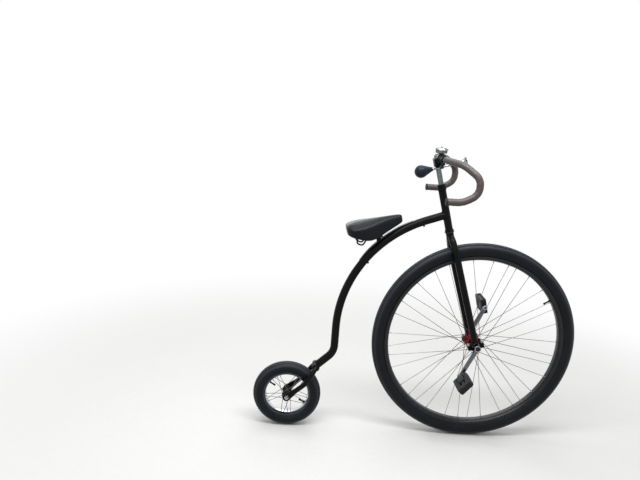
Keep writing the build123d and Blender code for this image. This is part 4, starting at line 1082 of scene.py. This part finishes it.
# seen pale, but it throws little light back up
bounce = addNode(
    tree, "ShaderNodeMix", {"data_type": "RGBA"}, {7: linear("7c7c7a")},
    {"Factor": rays.outputs["Is Diffuse Ray"], 6: tone.outputs[2]},
)
matt = addNode(tree, "ShaderNodeBsdfDiffuse", None, None, {"Color": bounce.outputs[2]})
glow = addNode(tree, "ShaderNodeEmission", None, {"Color": (1, 1, 1, 1), "Strength": 1.0})
seen = addNode(
    tree, "ShaderNodeMath", {"operation": "MAXIMUM"}, None,
    {0: rays.outputs["Is Camera Ray"], 1: rays.outputs["Is Glossy Ray"]},
)
shown = addNode(
    tree, "ShaderNodeMath", {"operation": "MULTIPLY"}, None, {0: seen.outputs[0], 1: fade.outputs["Result"]}
)
mixed = addNode(
    tree, "ShaderNodeMixShader", None, None,
    {0: shown.outputs[0], 1: matt.outputs["BSDF"], 2: glow.outputs["Emission"]},
)
addNode(tree, "ShaderNodeOutputMaterial", None, None, {"Surface": mixed.outputs["Shader"]})
floorMesh.materials.append(floorFinish)

world = bpy.data.worlds.new("studio")
bpy.context.scene.world = world
world.use_nodes = True
tree = world.node_tree
tree.nodes.clear()
rays = addNode(tree, "ShaderNodeLightPath")
seen = addNode(
    tree, "ShaderNodeMath", {"operation": "MAXIMUM"}, None,
    {0: rays.outputs["Is Camera Ray"], 1: rays.outputs["Is Glossy Ray"]},
)
seen = addNode(
    tree, "ShaderNodeMath", {"operation": "MAXIMUM"}, None,
    {0: seen.outputs[0], 1: rays.outputs["Is Transmission Ray"]},
)
strength = addNode(
    tree, "ShaderNodeMapRange", None,
    {"To Min": stage["worldLight"], "To Max": 1.0}, {"Value": seen.outputs[0]},
)
sky = addNode(
    tree, "ShaderNodeBackground", None, {"Color": (1, 1, 1, 1)}, {"Strength": strength.outputs["Result"]}
)
addNode(tree, "ShaderNodeOutputWorld", None, None, {"Surface": sky.outputs["Background"]})

lamps = {
    # place, aimed at, length, width, power
    "sky": ((-0.1, -0.9, 1.9), (-0.1, -0.1, -0.3), 3.0, 0.6, 52),
    "over": ((-0.1, 0.4, 2.2), (-0.1, 0.1, -0.2), 3.0, 1.4, 30),
    "key": ((-1.2, -3.0, 2.4), (0.1, 0, -0.3), 2.2, 1.2, 20),
    "back": ((0.2, 2.6, 2.4), (0.1, 0, -0.3), 2.4, 1.2, 14),
    "low": ((0.1, 3.0, 0.7), (0.1, 0, -0.7), 2.8, 0.8, 14),
}
for name, (spot, aim, length, width, power) in lamps.items():
    data = bpy.data.lights.new(name, "AREA")
    data.shape = "RECTANGLE"
    data.energy = power
    data.size = length
    data.size_y = width
    lamp = bpy.data.objects.new(name, data)
    lamp.location = spot
    lamp.rotation_euler = (Vector(aim) - Vector(spot)).to_track_quat("-Z", "Y").to_euler()
    bpy.context.scene.collection.objects.link(lamp)

# The photograph's view: place, turn to the right, down and roll, and lens
shot = {"place": (-0.29576, -2.48790, 0.47033), "yaw": 1.734, "pitch": 13.151, "roll": 4.116, "lens": 33.317}
yaw, pitch, roll = (radians(shot[key]) for key in ("yaw", "pitch", "roll"))
level = Vector((sin(yaw), cos(yaw), 0))
rightward = Vector((cos(yaw), -sin(yaw), 0))
ahead = level * cos(pitch) - upright * sin(pitch)
above = level * sin(pitch) + upright * cos(pitch)
cameraX = rightward * cos(roll) + above * sin(roll)
cameraY = above * cos(roll) - rightward * sin(roll)
cameraData = bpy.data.cameras.new("camera")
cameraData.lens = shot["lens"]
cameraData.sensor_width = 36
cameraData.sensor_fit = "HORIZONTAL"
camera = bpy.data.objects.new("camera", cameraData)
turn = Matrix((cameraX, cameraY, -ahead)).transposed().to_4x4()
camera.matrix_world = Matrix.Translation(shot["place"]) @ turn
bpy.context.scene.collection.objects.link(camera)
bpy.context.scene.camera = camera
bpy.context.scene.view_settings.view_transform = "Standard"
print("penny farthing: stage set")
